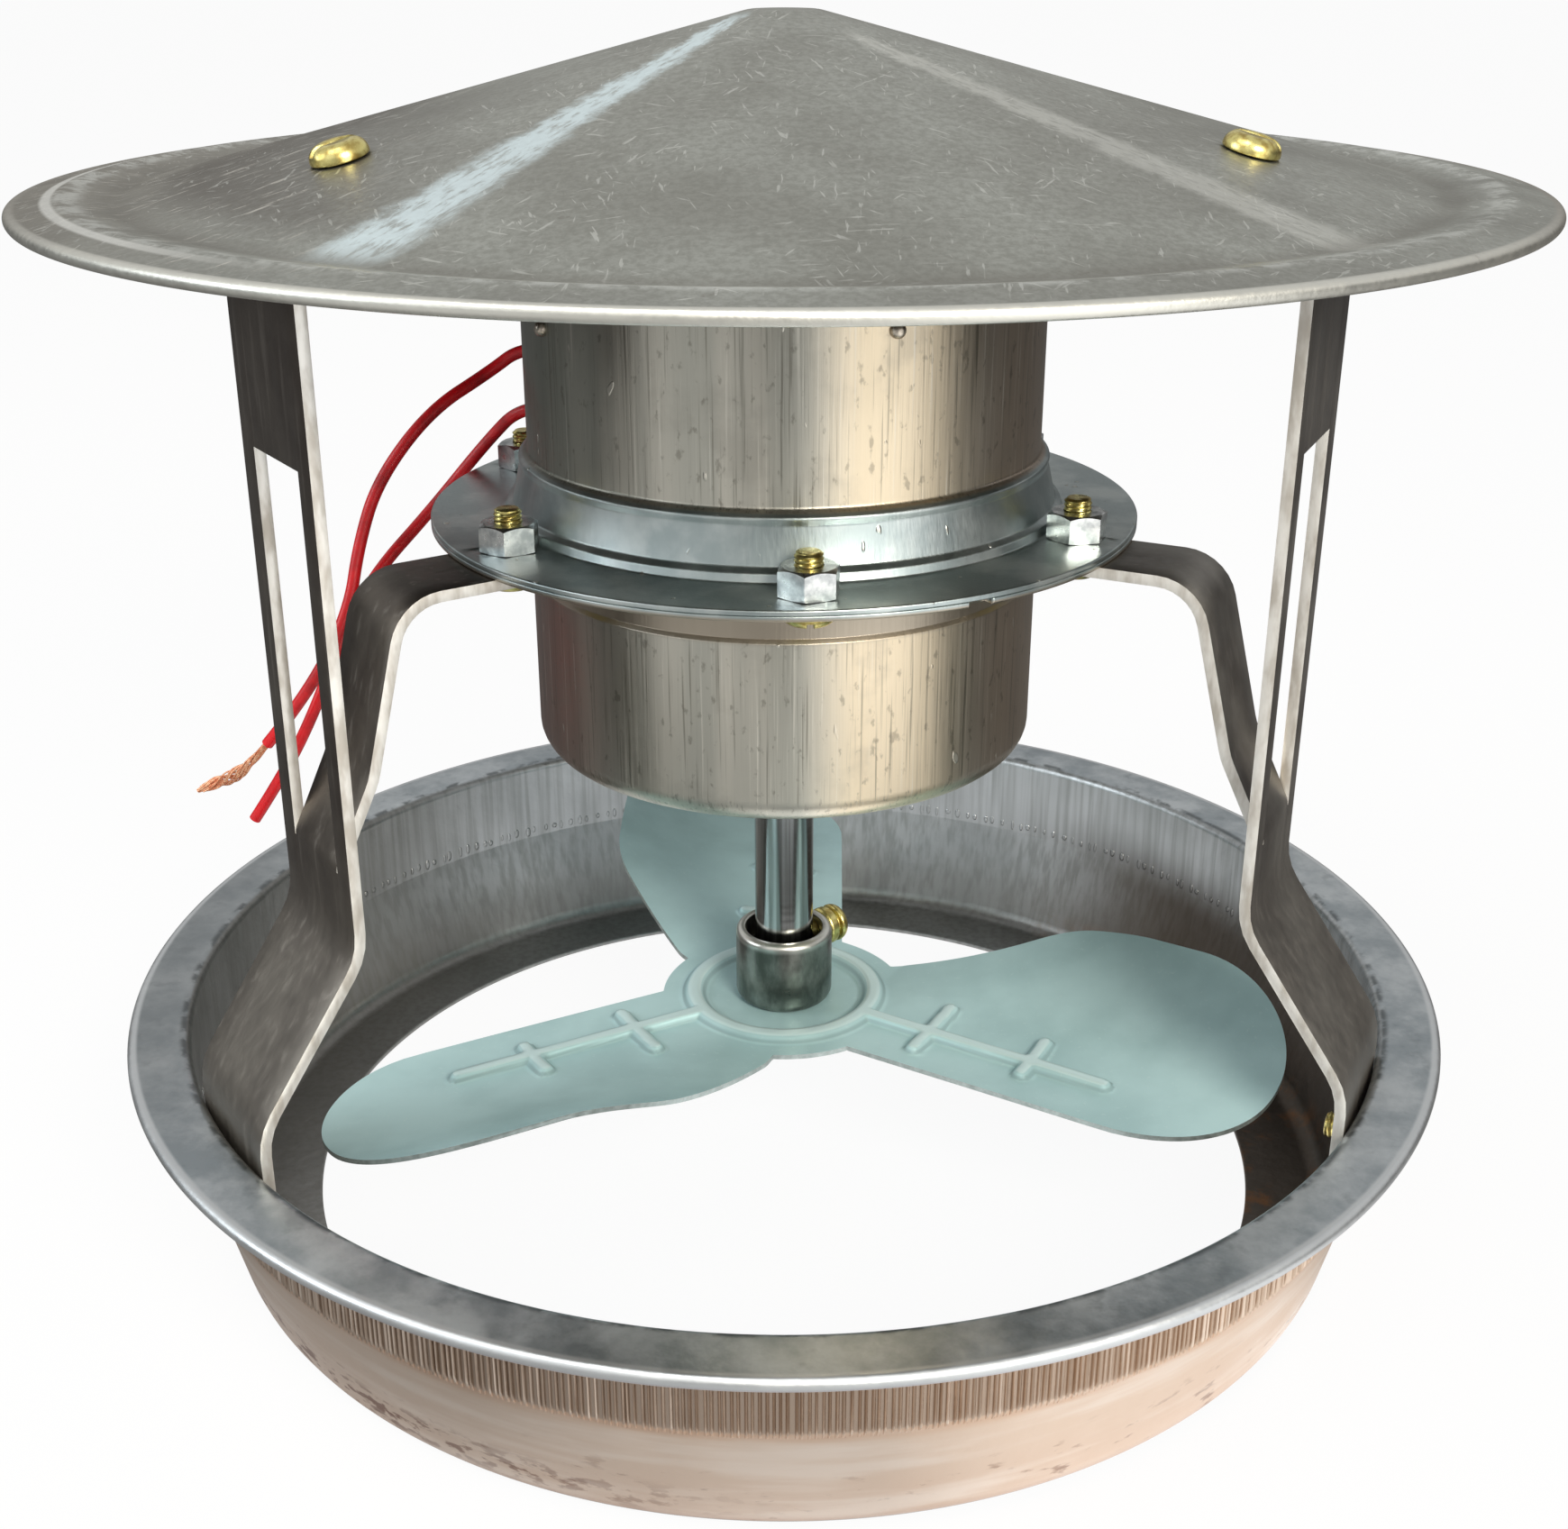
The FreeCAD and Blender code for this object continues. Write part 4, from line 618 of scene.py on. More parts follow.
# Painted light: one steel in three tones, darkest on the left strut and lightest on the right one.
strut_faces_with_painted_light = {
    "back": strut_finish_with_painted_light("strut_face_back", 94, seen(104, 104, 100), seen(136, 136, 132)),
    "left": strut_finish_with_painted_light("strut_face_left", 214, seen(88, 80, 74), seen(124, 117, 108)),
    "right": strut_finish_with_painted_light("strut_face_right", 334, seen(112, 106, 101), seen(158, 154, 147)),
}


def along(path, marks=()):
    """The open path's spots with one more at each marked height of an upright stretch."""
    spots = list(path)
    for mark in marks:
        for number in range(len(spots) - 1):
            low, high = spots[number], spots[number + 1]
            if low.y < mark - 1e-6 and high.y > mark + 1e-6 and abs(low.x - high.x) < 0.01:
                spots.insert(number + 1, Vector((low.x, mark)))
                break
    return spots


def open_bends(corners):
    """Bends of a path that isn't closed: its first and last corner are left sharp."""
    return with_bends([corner if 0 < number < len(corners) - 1 else corner[:2]
                       for number, corner in enumerate(corners)])


def stamp_strut(label, azimuth):
    """The strap as a sheet with its slot open and its tongue bent in, then given its thickness."""
    shape = bmesh.new()
    columns = (-1, -0.5, 0, 0.5, 1)
    across = ([-HALF_STRAP, -HALF_SLOT] + [HALF_TONGUE * share for share in columns] + [HALF_SLOT, HALF_STRAP])
    inner = range(1, len(across) - 2)
    rows = []
    for spot in along(open_bends([(FOOT_RADIUS, STRAP_FOOT), (FOOT_RADIUS, 52, 13), (STRAP_RADIUS, 81, 13),
                                  (STRAP_RADIUS, STRAP_TOP, 4), STRAP_END]),
                      (STRAP_FOOT + 0.6, STRAP_FOOT + 1.6, STRAP_FOOT + FOOT_CORNER, SLOT_BOTTOM, SLOT_TOP)):
        deep = max(0.0, FOOT_CORNER - (spot.y - STRAP_FOOT))
        pinch = FOOT_CORNER - math.sqrt(FOOT_CORNER ** 2 - min(deep, FOOT_CORNER) ** 2)
        in_slot = SLOT_BOTTOM + 0.01 < spot.y < SLOT_TOP - 0.01 and abs(spot.x - STRAP_RADIUS) < 0.01
        row = []
        for number, offset in enumerate(across):
            if in_slot and 1 < number < len(across) - 2:
                row.append(None)
                continue
            if abs(offset) == HALF_STRAP:
                offset = math.copysign(HALF_STRAP - pinch, offset)
            row.append(shape.verts.new((spot.x, offset, spot.y)))
        rows.append((spot, row))
    for (spot, row), (after, other) in zip(rows, rows[1:]):
        slotted = spot.y > SLOT_BOTTOM - 0.01 and after.y < SLOT_TOP + 0.01 and abs(spot.x - STRAP_RADIUS) < 0.01
        for number in range(len(across) - 1):
            if not (slotted and number in inner):
                shape.faces.new((row[number], row[number + 1], other[number + 1], other[number]))
    root = next(row for spot, row in rows if abs(spot.y - SLOT_BOTTOM) < 0.01)[2:-2]
    path = open_bends([(STRAP_RADIUS, SLOT_BOTTOM), (STRAP_RADIUS, SLOT_BOTTOM + 0.8, 3), (90.3, 110, 13),
                       (82.6, ARM_HEIGHT, 9), (TONGUE_END, ARM_HEIGHT)])
    path = path[:-1] + [Vector((TONGUE_END + left, ARM_HEIGHT)) for left in (TONGUE_CORNER, 5, 3, 1.5, 0.6, 0.15, 0)]
    below = root
    for spot in path[1:]:
        deep = max(0.0, TONGUE_CORNER - (spot.x - TONGUE_END)) if spot.y > ARM_HEIGHT - 0.01 else 0.0
        half = HALF_TONGUE - TONGUE_CORNER + math.sqrt(max(0.0, TONGUE_CORNER ** 2 - deep ** 2))
        above = [shape.verts.new((spot.x, half * share, spot.y)) for share in columns]
        for number in range(len(columns) - 1):
            shape.faces.new((below[number], below[number + 1], above[number + 1], above[number]))
        below = above
    bmesh.ops.rotate(shape, verts=shape.verts, cent=(0, 0, 0), matrix=Matrix.Rotation(math.radians(azimuth), 3, "Z"))
    name = "stamped_strut_" + label
    strut = new_piece(name, close_shape(name, shape), strut_faces_with_painted_light[label])
    strut.data.materials.append(cut_edge)
    sheet = strut.modifiers.new("sheet", "SOLIDIFY")
    sheet.thickness = STRAP_SHEET * MM
    sheet.offset = 0
    sheet.use_even_offset = True
    sheet.material_offset_rim = 1
    as_plain_mesh(strut)
    drill = THREAD_RADIUS + THREAD_PLAY
    cone_square = around(azimuth, math.sin(math.radians(CONE_LEAN)), math.cos(math.radians(CONE_LEAN)))
    cut_out(strut, pins("strut_drill", [
        (around(azimuth, BOLT_CIRCLE, ARM_HEIGHT), (0, 0, 1), drill, 6),
        (around(azimuth, FOOT_RADIUS, BASE_SCREW_HEIGHT), around(azimuth, 1, 0), drill, 6),
        (around(azimuth, CAP_SCREW_RADIUS, CAP_SCREW_SEAT - 2), cone_square, drill, 8)]))
    edge = strut.modifiers.new("edge", "BEVEL")
    edge.width = 0.3 * MM
    edge.segments = 2
    edge.limit_method = "ANGLE"
    edge.angle_limit = math.radians(50)
    as_plain_mesh(strut)
    strut.data.shade_smooth()
    strut.data.set_sharp_from_angle(angle=math.radians(35))
    return fit(strut, "housing", "strut_steel", "strut_" + label)


for label, azimuth in STRUT_AZIMUTHS.items():
    stamp_strut(label, azimuth)


# Slotted pan head screws of yellow brass: three hold the cap to the straps, three hold the straps
# inside the ring's wall. Their threads end a few millimetres behind the sheet.
HEAD_RADIUS = 4.8
HEAD_HEIGHT = 3
THREAD_PITCH = 0.8
THREAD_DEPTH = 0.28
SLOT_WIDTH = 1.2
SLOT_DEPTH = 1.3
CAP_SCREW_LENGTH = 5.8
BASE_SCREW_LENGTH = 8.0
BASE_SCREW_SEAT = WALL_RADIUS + 0.6

brass, shader, place = new_finish("yellow_brass", 1.0, 0.3)
dull = cloud(place, 1.8, detail=4)
apply_finish(shader, colour=tint(span(dull, 0.35, 0.7), seen(240, 228, 150), seen(176, 152, 84)),
             roughness=dull * 0.3 + 0.16, relief=dull * 0.05)


def turn_screw(name, length, slotted=True):
    """A screw with its seat at the origin, its head up and its thread down."""
    outline = with_bends([(0, HEAD_HEIGHT), (HEAD_RADIUS, HEAD_HEIGHT, 2.3), (HEAD_RADIUS, 0, 0.3)])
    outline.append(Vector((THREAD_RADIUS, 0)))
    rows = math.ceil(length / (THREAD_PITCH / 6))
    outline += [Vector((THREAD_RADIUS, -length * row / rows)) for row in range(1, rows)]
    outline += [Vector((THREAD_RADIUS - 0.6, -length)), Vector((0, -length))]

    def cut_thread(angle, across, up):
        if up > -0.2 or across < THREAD_RADIUS - 0.1:
            return across, up
        place_in_turn = (up / THREAD_PITCH - angle / (2 * math.pi)) % 1
        ease = min(1, (length + up) / 0.8 + 0.3)
        return across * ease ** 0.15 - THREAD_DEPTH * 2 * abs(place_in_turn - 0.5), up

    screw = new_piece(name, turned(name, outline, 32, cut_thread))
    if slotted:
        shape = bmesh.new()
        bmesh.ops.create_cube(shape, size=1)
        bmesh.ops.scale(shape, verts=shape.verts, vec=(3 * HEAD_RADIUS, SLOT_WIDTH, 2 * SLOT_DEPTH))
        bmesh.ops.translate(shape, verts=shape.verts, vec=(0, 0, HEAD_HEIGHT))
        cut_out(screw, new_piece("slot_saw", close_shape("slot_saw", shape)))
    return screw


cap_screws = set_out("cap_screws", turn_screw("cap_screw", CAP_SCREW_LENGTH), [
    (around(azimuth, CAP_SCREW_RADIUS, CAP_SCREW_SEAT), (0, CONE_LEAN, azimuth))
    for azimuth in STRUT_AZIMUTHS.values()], brass)
fit(cap_screws, "housing", "brass_screw", "cap_screw_back", "cap_screw_left", "cap_screw_right")
base_screws = set_out("base_screws", turn_screw("base_screw", BASE_SCREW_LENGTH), [
    (around(azimuth, BASE_SCREW_SEAT, BASE_SCREW_HEIGHT), (0, 90, azimuth))
    for azimuth in STRUT_AZIMUTHS.values()], brass)
fit(base_screws, "housing", "brass_screw", "base_screw_back", "base_screw_left", "base_screw_right")


# Motor shells: two cans drawn from sheet, satin finished upright, whose flanges are bolted together.
# The upper one widens in a step above its flange, the lower one has a neck below it and a notch.
CAN_RADIUS = 48
CAN_BOTTOM = 96.5
CAN_TOP = 192
FLANGE_RADIUS = 66.4
CUP_RADIUS = 15.03
CUP_BORE = 14.03
CUP_RISE = 7
NECK_RADIUS = 47.4
NECK_FOOT = 131.2
NOTCH_AZIMUTH = 299
NOTCH_SIZE = (4, 4.5, 4)
GROMMET_AZIMUTH = 160
GROMMET_HEIGHTS = (168.7, 157.3)
GROMMET_HOLE = 1.9
BOLT_AZIMUTHS = [94 + 60 * number for number in range(6)]

can_steel, shader, place = new_finish("motor_can_satin", 1.0, 0.36)
height = axis(place, 2)
east = axis(place, 0)
radius = radius_of(place)
brushing = cloud(place, 0.55, (1, 1, 60), detail=3)
bands = cloud(place, 7, (1, 1, 30), shift=4.0, detail=2)
patches = cloud(place, 14, shift=9.0, detail=5)
flange = span(radius, CAN_RADIUS + 0.7, CAN_RADIUS + 1.3)
neck = span(height, NECK_FOOT - 1, NECK_FOOT + 0.5) * span(height, FLANGE_JOINT - 0.2, FLANGE_JOINT - 0.8)
colour = tint(span(bands, 0.3, 0.7), seen(188, 187, 176), seen(214, 210, 197))
# Painted reflections: the can is darker at its left and right sides, reddish low on the left, with a painted warm
# highlight band just right of its middle.
colour = tint(span(east, -26, -44) * 0.8, colour, tint(span(height, 120, 150), seen(152, 116, 106), seen(134, 138, 128)))
colour = tint(span(east, 24, 42) * 0.8, colour, seen(176, 156, 136))
colour = tint(span(east, 2, 14) * span(east, 36, 24) * 0.7, colour, seen(234, 214, 180))
colour = tint(span(patches, 0.55, 0.7) * 0.25, colour, seen(150, 146, 136))
colour = tint(span(brushing, 0.58, 0.78) * 0.6, colour, seen(242, 238, 226))
colour = tint(span(brushing, 0.45, 0.28) * 0.6, colour, seen(120, 116, 104))
speckle = span(cloud(place, 1.6, (1, 1, 1.8), shift=13.0, detail=3), 0.6, 0.72)
colour = tint(speckle * 0.45, colour, seen(112, 106, 94))
step = span(height, FLANGE_JOINT + 12.4, FLANGE_JOINT + 11.2) * span(height, FLANGE_JOINT + 0.4, FLANGE_JOINT + 0.8)
colour = tint(step, colour, tint(span(patches, 0.4, 0.65), seen(196, 204, 202), seen(222, 228, 226)))
colour = tint(flange, colour, tint(span(patches, 0.4, 0.65), seen(170, 182, 182), seen(206, 214, 212)))
colour = tint(neck, colour, seen(178, 168, 152))
nicks = span(cloud(place, 2.6, (1, 1, 2.2), shift=21.0, detail=1), 0.75, 0.79)
colour = tint(nicks * 0.7, colour, seen(226, 222, 210))
apply_finish(shader, colour=colour, roughness=brushing * 0.22 + patches * 0.12 + 0.2,
             relief=brushing * 0.03 + nicks * 0.12)

upper_can = new_piece("upper_can", turned("upper_can", with_bends([
    (FLANGE_RADIUS, FLANGE_JOINT + 0.02, 0.2),
    (FLANGE_RADIUS, FLANGE_JOINT + 1, 0.35),
    (52.6, FLANGE_JOINT + 1, 0.5),
    (52.2, FLANGE_JOINT + 2.6, 0.7),
    (51.0, FLANGE_JOINT + 3.4, 0.8),
    (49.5, FLANGE_JOINT + 10.0, 1.2),
    (49.8, FLANGE_JOINT + 11.4, 0.7),
    (CAN_RADIUS, FLANGE_JOINT + 12.5, 0.9),
    (CAN_RADIUS, CAN_TOP, 5),
    (CUP_RADIUS, CAN_TOP, 0.8),
    (CUP_RADIUS, CAN_TOP + CUP_RISE, 1.5),
    (0, CAN_TOP + CUP_RISE),
    (0, CAN_TOP - 1 + CUP_RISE),
    (CUP_BORE, CAN_TOP - 1 + CUP_RISE),
    (CUP_BORE, CAN_TOP - 1),
    (CAN_RADIUS - 1, CAN_TOP - 1, 4),
    (CAN_RADIUS - 1, FLANGE_JOINT + 12, 0.8),
    (48.6, FLANGE_JOINT + 10.8, 0.8),
    (50.4, FLANGE_JOINT + 2, 0.8),
    (50.6, FLANGE_JOINT + 0.02),
])), can_steel)
cut_out(upper_can, pins("upper_drill", [
    (around(azimuth, BOLT_CIRCLE, FLANGE_JOINT), (0, 0, 1), THREAD_RADIUS + THREAD_PLAY, 6)
    for azimuth in BOLT_AZIMUTHS] + [
    (around(GROMMET_AZIMUTH, CAN_RADIUS, height_of), around(GROMMET_AZIMUTH, 1, 0), GROMMET_HOLE, 8)
    for height_of in GROMMET_HEIGHTS]))
fit(upper_can, "housing", "motor_can", "motor_upper_shell")

lower_can = new_piece("lower_can", turned("lower_can", with_bends([
    (FLANGE_RADIUS, FLANGE_JOINT - 0.02, 0.2),
    (NECK_RADIUS - 1, FLANGE_JOINT - 0.02),
    (NECK_RADIUS - 1, NECK_FOOT),
    (CAN_RADIUS - 1, NECK_FOOT - 0.6),
    (CAN_RADIUS - 1, CAN_BOTTOM + 1, 4),
    (CUP_BORE, CAN_BOTTOM + 1),
    (CUP_BORE, CAN_BOTTOM + 1 - CUP_RISE),
    (7, CAN_BOTTOM + 1 - CUP_RISE),
    (7, CAN_BOTTOM - CUP_RISE, 0.3),
    (CUP_RADIUS, CAN_BOTTOM - CUP_RISE, 1.5),
    (CUP_RADIUS, CAN_BOTTOM, 0.8),
    (CAN_RADIUS, CAN_BOTTOM, 5),
    (CAN_RADIUS, NECK_FOOT - 0.3, 0.5),
    (NECK_RADIUS, NECK_FOOT + 0.5, 0.4),
    (NECK_RADIUS, FLANGE_JOINT - 1, 1.2),
    (FLANGE_RADIUS, FLANGE_JOINT - 1, 0.35),
])), can_steel)
cut_out(lower_can, pins("lower_drill", [
    (around(azimuth, BOLT_CIRCLE, FLANGE_JOINT), (0, 0, 1), THREAD_RADIUS + THREAD_PLAY, 6)
    for azimuth in BOLT_AZIMUTHS]))
shape = bmesh.new()
bmesh.ops.create_cube(shape, size=1)
bmesh.ops.scale(shape, verts=shape.verts, vec=NOTCH_SIZE)
bmesh.ops.translate(shape, verts=shape.verts, vec=(FLANGE_RADIUS, 0, FLANGE_JOINT))
bmesh.ops.rotate(shape, verts=shape.verts, cent=(0, 0, 0), matrix=Matrix.Rotation(math.radians(NOTCH_AZIMUTH), 3, "Z"))
cut_out(lower_can, new_piece("notch_punch", close_shape("notch_punch", shape)))
fit(lower_can, "housing", "motor_can", "motor_lower_shell")

# Two small rivets with domed heads near the top of the upper can.
RIVET_RADIUS = 1.4
rivet_steel, shader, place = new_finish("rivet_steel", 1.0, 0.35)
worn = cloud(place, 1.0)
apply_finish(shader, colour=tint(span(worn, 0.3, 0.7), seen(226, 216, 200), seen(170, 160, 146)),
             roughness=worn * 0.2 + 0.25)
dome = with_bends([(0, RIVET_RADIUS), (RIVET_RADIUS, RIVET_RADIUS, 0.9 * RIVET_RADIUS), (RIVET_RADIUS, -0.4), (0, -0.4)])
rivets = set_out("can_rivets", new_piece("rivet", turned("rivet", dome, 24)), [
    (around(-150, CAN_RADIUS, 180), (0, 90, -150)),
    (around(-67.5, CAN_RADIUS, 183.5), (0, 90, -67.5))], rivet_steel)
fit(rivets, "housing", "motor_can")


# Inside the cans: the bearings in their cups, the stator's laminations with their enamelled winding,
# and the rotor's stack on the shaft. They keep the solids' form and get their own finishes.
def paint(finish, *nodes):
    """Give solids that keep their form a finish of their own."""
    for node in nodes:
        for holder in frame["nodes"][node].material_slots:
            holder.material = finish


bearing_steel, shader, place = new_finish("bearing_steel", 1.0, 0.22)
oil = cloud(place, 4)
apply_finish(shader, colour=tint(span(oil, 0.4, 0.7), seen(196, 198, 202), seen(150, 148, 140)),
             roughness=oil * 0.25 + 0.12)
paint(bearing_steel, "lower_bearing", "upper_bearing")

laminations, shader, place = new_finish("laminated_core", 0.8, 0.5)
layers = cloud(place, 0.5, (60, 60, 1), detail=1)
rust = cloud(place, 6, detail=5)
apply_finish(shader, colour=tint(span(layers, 0.4, 0.6), seen(84, 84, 88), tint(rust, seen(124, 122, 122), seen(112, 84, 66))),
             roughness=rust * 0.3 + 0.35, relief=layers * 0.1)
paint(laminations, "stator_core", "rotor_core")

winding, shader, place = new_finish("enamelled_winding", 0.6, 0.3)
turns = cloud(place, 0.5, (20, 20, 1), detail=1)
varnish = cloud(place, 8, detail=4)
apply_finish(shader, colour=tint(span(turns, 0.42, 0.58), seen(120, 58, 28), tint(varnish, seen(196, 116, 62), seen(160, 84, 44))),
             roughness=varnish * 0.2 + 0.2, relief=turns * 0.15)
paint(winding, "stator_winding")

grommet_rubber, shader, place = new_finish("grommet_rubber", 0.0, 0.7)
bloom = cloud(place, 1.2, detail=4)
apply_finish(shader, colour=tint(bloom, seen(36, 34, 33), seen(58, 55, 52)), roughness=bloom * 0.3 + 0.5,
             relief=bloom * 0.03)
paint(grommet_rubber, "wire_grommet_1", "wire_grommet_2")


# Flange bolts and nuts: brass bolts from below, with zinc plated hexagon nuts on the upper flange.
# Three of the bolts also hold the struts' arms, so their heads sit one sheet lower.
NUT_FLATS = 9.6
NUT_HEIGHT = 5
NUT_TURNS = (0, 10, 25, 18, 5, 14)
THREAD_END = FLANGE_JOINT + 1 + NUT_HEIGHT + 2.4


def make_nut(name):
    """A hexagon nut seated on the origin, both its faces turned off at the corners."""
    shape = bmesh.new()
    bevel_radius = 0.95 * NUT_FLATS / 2
    rows = [[] for level in range(6)]
    for step in range(72):
        angle = 2 * math.pi * step / 72
        side = NUT_FLATS / 2 / math.cos((angle + math.pi / 6) % (math.pi / 3) - math.pi / 6)
        fall = max(0.0, side - bevel_radius) * math.tan(math.radians(30))
        for row, (across, up) in zip(rows, ((THREAD_RADIUS, 0), (bevel_radius, 0), (side, 0.4 * fall),
                                            (side, NUT_HEIGHT - fall), (bevel_radius, NUT_HEIGHT),
                                            (THREAD_RADIUS, NUT_HEIGHT))):
            row.append(shape.verts.new((across * math.cos(angle), across * math.sin(angle), up)))
    for row, other in zip(rows, rows[1:] + rows[:1]):
        for step in range(72):
            beside = (step + 1) % 72
            shape.faces.new((row[step], row[beside], other[beside], other[step]))
    return new_piece(name, close_shape(name, shape, 20))


nut_zinc, shader, place = new_finish("nut_zinc", 1.0, 0.3)
plating = cloud(place, 2.5, detail=4)
apply_finish(shader, colour=tint(span(plating, 0.35, 0.7), seen(228, 230, 228), seen(170, 175, 176)),
             roughness=plating * 0.3 + 0.16, relief=plating * 0.06)
nuts = set_out("flange_nuts", make_nut("nut"), [
    (around(azimuth, BOLT_CIRCLE, FLANGE_JOINT + 1), (0, 0, azimuth + turn))
    for azimuth, turn in zip(BOLT_AZIMUTHS, NUT_TURNS)], nut_zinc)
fit(nuts, "housing", "zinc_fastener", *["flange_nut_%d" % number for number in range(1, 7)])

for name, numbers, seat in (("arm_bolts", (1, 3, 5), FLANGE_JOINT - 3), ("plain_bolts", (2, 4, 6), FLANGE_JOINT - 1)):
    bolts = set_out(name, turn_screw("bolt", THREAD_END - seat), [
        (around(BOLT_AZIMUTHS[number - 1], BOLT_CIRCLE, seat), (0, 180, BOLT_AZIMUTHS[number - 1]))
        for number in numbers], brass)
    fit(bolts, "housing", "brass_screw", *["flange_bolt_%d" % number for number in numbers])


# Shaft: a ground and polished steel bar, thicker between its bearings, that carries the rotor's
# stack inside the cans and the fan below them.
polished, shader, place = new_finish("polished_shaft", 1.0, 0.14)
lines = cloud(place, 0.8, (20, 20, 1), detail=2)
drawn = cloud(place, 1.4, (1, 1, 60), detail=2)
apply_finish(shader, colour=tint(span(drawn, 0.35, 0.65), seen(204, 205, 204), seen(140, 141, 138)),
             roughness=lines * 0.12 + 0.1)
shaft = new_piece("shaft_bar", turned("shaft_bar", with_bends([
    (0, 34), (5.5, 34), (6, 34.5), (6, 98.6), (7.5, 98.6), (7.5, 189.9), (6, 189.9), (6, 197),
    (5.5, 197.5), (0, 197.5)]), 64), polished)
fit(shaft, "rotor", "shaft_steel", "shaft")


# Fan hub: a turned steel collar pressed on the shaft, its spigot peened over below the fan. A brass
# screw through its side, with a groove round its head, grips the shaft.
HUB_TOP = 52
SET_SCREW_AZIMUTH = 40
SET_SCREW_HEIGHT = 48
hub_steel, shader, place = new_finish("turned_hub", 1.0, 0.34)
height = axis(place, 2)
tool_marks = cloud(place, 0.6, (30, 30, 1), detail=2)
stains = cloud(place, 4, (1, 1, 2), detail=5)
colour = tint(span(stains, 0.35, 0.7), seen(96, 98, 92), seen(150, 151, 144))
colour = tint(span(height, HUB_TOP - 2.2, HUB_TOP - 0.5) * span(radius_of(place), 7.9, 8.4), colour, seen(216, 216, 208))
# Painted shade: dark in the groove and in the pocket round the shaft.
colour = tint(span(radius_of(place), 8.1, 7.7), colour, seen(48, 46, 42))
apply_finish(shader, colour=colour, roughness=stains * 0.3 + 0.18, relief=tool_marks * 0.03 + stains * 0.05)
hub = new_piece("hub_collar", turned("hub_collar", with_bends([
    (6.03, 34), (9, 34, 0.5), (9, 35), (7.2, 35), (7.2, 36), (10, 36, 2), (10, HUB_TOP, 1.2),
    (8, HUB_TOP, 0.4), (8, 47), (6.03, 47)]), 96), hub_steel)
cut_out(hub, pins("hub_drill", [(around(SET_SCREW_AZIMUTH, 9, SET_SCREW_HEIGHT), around(SET_SCREW_AZIMUTH, 1, 0),
                                 THREAD_RADIUS + THREAD_PLAY, 8)]))
fit(hub, "rotor", "hub_steel", "fan_hub")
grip = turned("hub_grip_screw", with_bends([
    (0, -3.97), (2.5, -3.97), (2.5, 0.03), (4, 0.03, 0.7), (4, 2.16, 0.5), (3.1, 2.5, 0.15), (3.1, 2.9, 0.15),
    (4, 3.24, 0.5), (4, 5.4, 1.9), (0, 5.4)]), 48)
grip_screw = set_out("hub_grip_screw", new_piece("grip", grip), [
    (around(SET_SCREW_AZIMUTH, 10, SET_SCREW_HEIGHT), (0, 90, SET_SCREW_AZIMUTH))], brass)
fit(grip_screw, "rotor", "brass_screw", "set_screw")


# Fan: one pressed sheet, a flat disc from which three cambered blades grow. A rib pressed along each
# blade, two short ribs across it and a ring round the hub stiffen the sheet.
PLATE_BORE = 7.23
FAN_UNDER = 35
FAN_SHEET = 1
DISC_RADIUS = 25.5
BLADE_AZIMUTH = 88.5
BLADE_REACH = 102.5
BLADE_ROOT = 14
BLADE_LEADING = 12.3
BLADE_TRAILING = 40
BLADE_SHOULDER = 47
ROOT_WIDTH = 23.5
CAMBER_RADIUS = 89
CAMBER_OFFSET = 6
CAMBER_START = 16
CAMBER_FULL = 66
CAMBER_GROWTH = 1.6
RIB_HALF_WIDTH = 2.3
RIB_RISE = 1.45
RIB_FLANK = 1.35
RIBS = (((20, 0), (72.5, 0)), ((34.5, -6.5), (34.5, 9.5)), ((57, -4), (57, 7)))
RING_RIB_RADIUS = 19
BLADE_SECTOR = (-28.8, 62.0)
BLADE_ROWS = 120
BLADE_COLUMNS = 140
GAP_COLUMNS = 14


def ease(share):
    share = max(0.0, min(1.0, share))
    return share * share * (3 - 2 * share)


def blade_outline():
    """The blade's edge in its own frame, from the disc round the tip and back, as polar places."""
    tip_bend = 0.49 * (BLADE_LEADING + BLADE_TRAILING)
    corners = [(BLADE_ROOT - 1, -BLADE_LEADING), (BLADE_REACH, -BLADE_LEADING, tip_bend),
               (BLADE_REACH, BLADE_TRAILING, tip_bend), (BLADE_SHOULDER, BLADE_TRAILING, 25),
               (BLADE_ROOT + 3, ROOT_WIDTH, 3), (BLADE_ROOT - 1, ROOT_WIDTH - 3)]
    edge = []
    for spot in with_bends(corners, 3):
        edge.append((math.degrees(math.atan2(spot.y, spot.x)), spot.length))
    return edge


BLADE_EDGE = blade_outline()


def edge_reach(angle):
    """Distance from the axis to the plate's edge, at an angle from a blade's rib."""
    reach = DISC_RADIUS
    for (low, near), (high, far) in zip(BLADE_EDGE, BLADE_EDGE[1:]):
        if min(low, high) <= angle <= max(low, high) and abs(high - low) > 1e-6:
            share = (angle - low) / (high - low)
            one = Vector((near * math.cos(math.radians(low)), near * math.sin(math.radians(low))))
            two = Vector((far * math.cos(math.radians(high)), far * math.sin(math.radians(high))))
            way = Vector((math.cos(math.radians(angle)), math.sin(math.radians(angle))))
            across = two - one
            crossing = way.x * across.y - way.y * across.x
            if abs(crossing) > 1e-9:
                reach = max(reach, (one.x * across.y - one.y * across.x) / crossing)
            else:
                reach = max(reach, near + share * (far - near))
    return reach


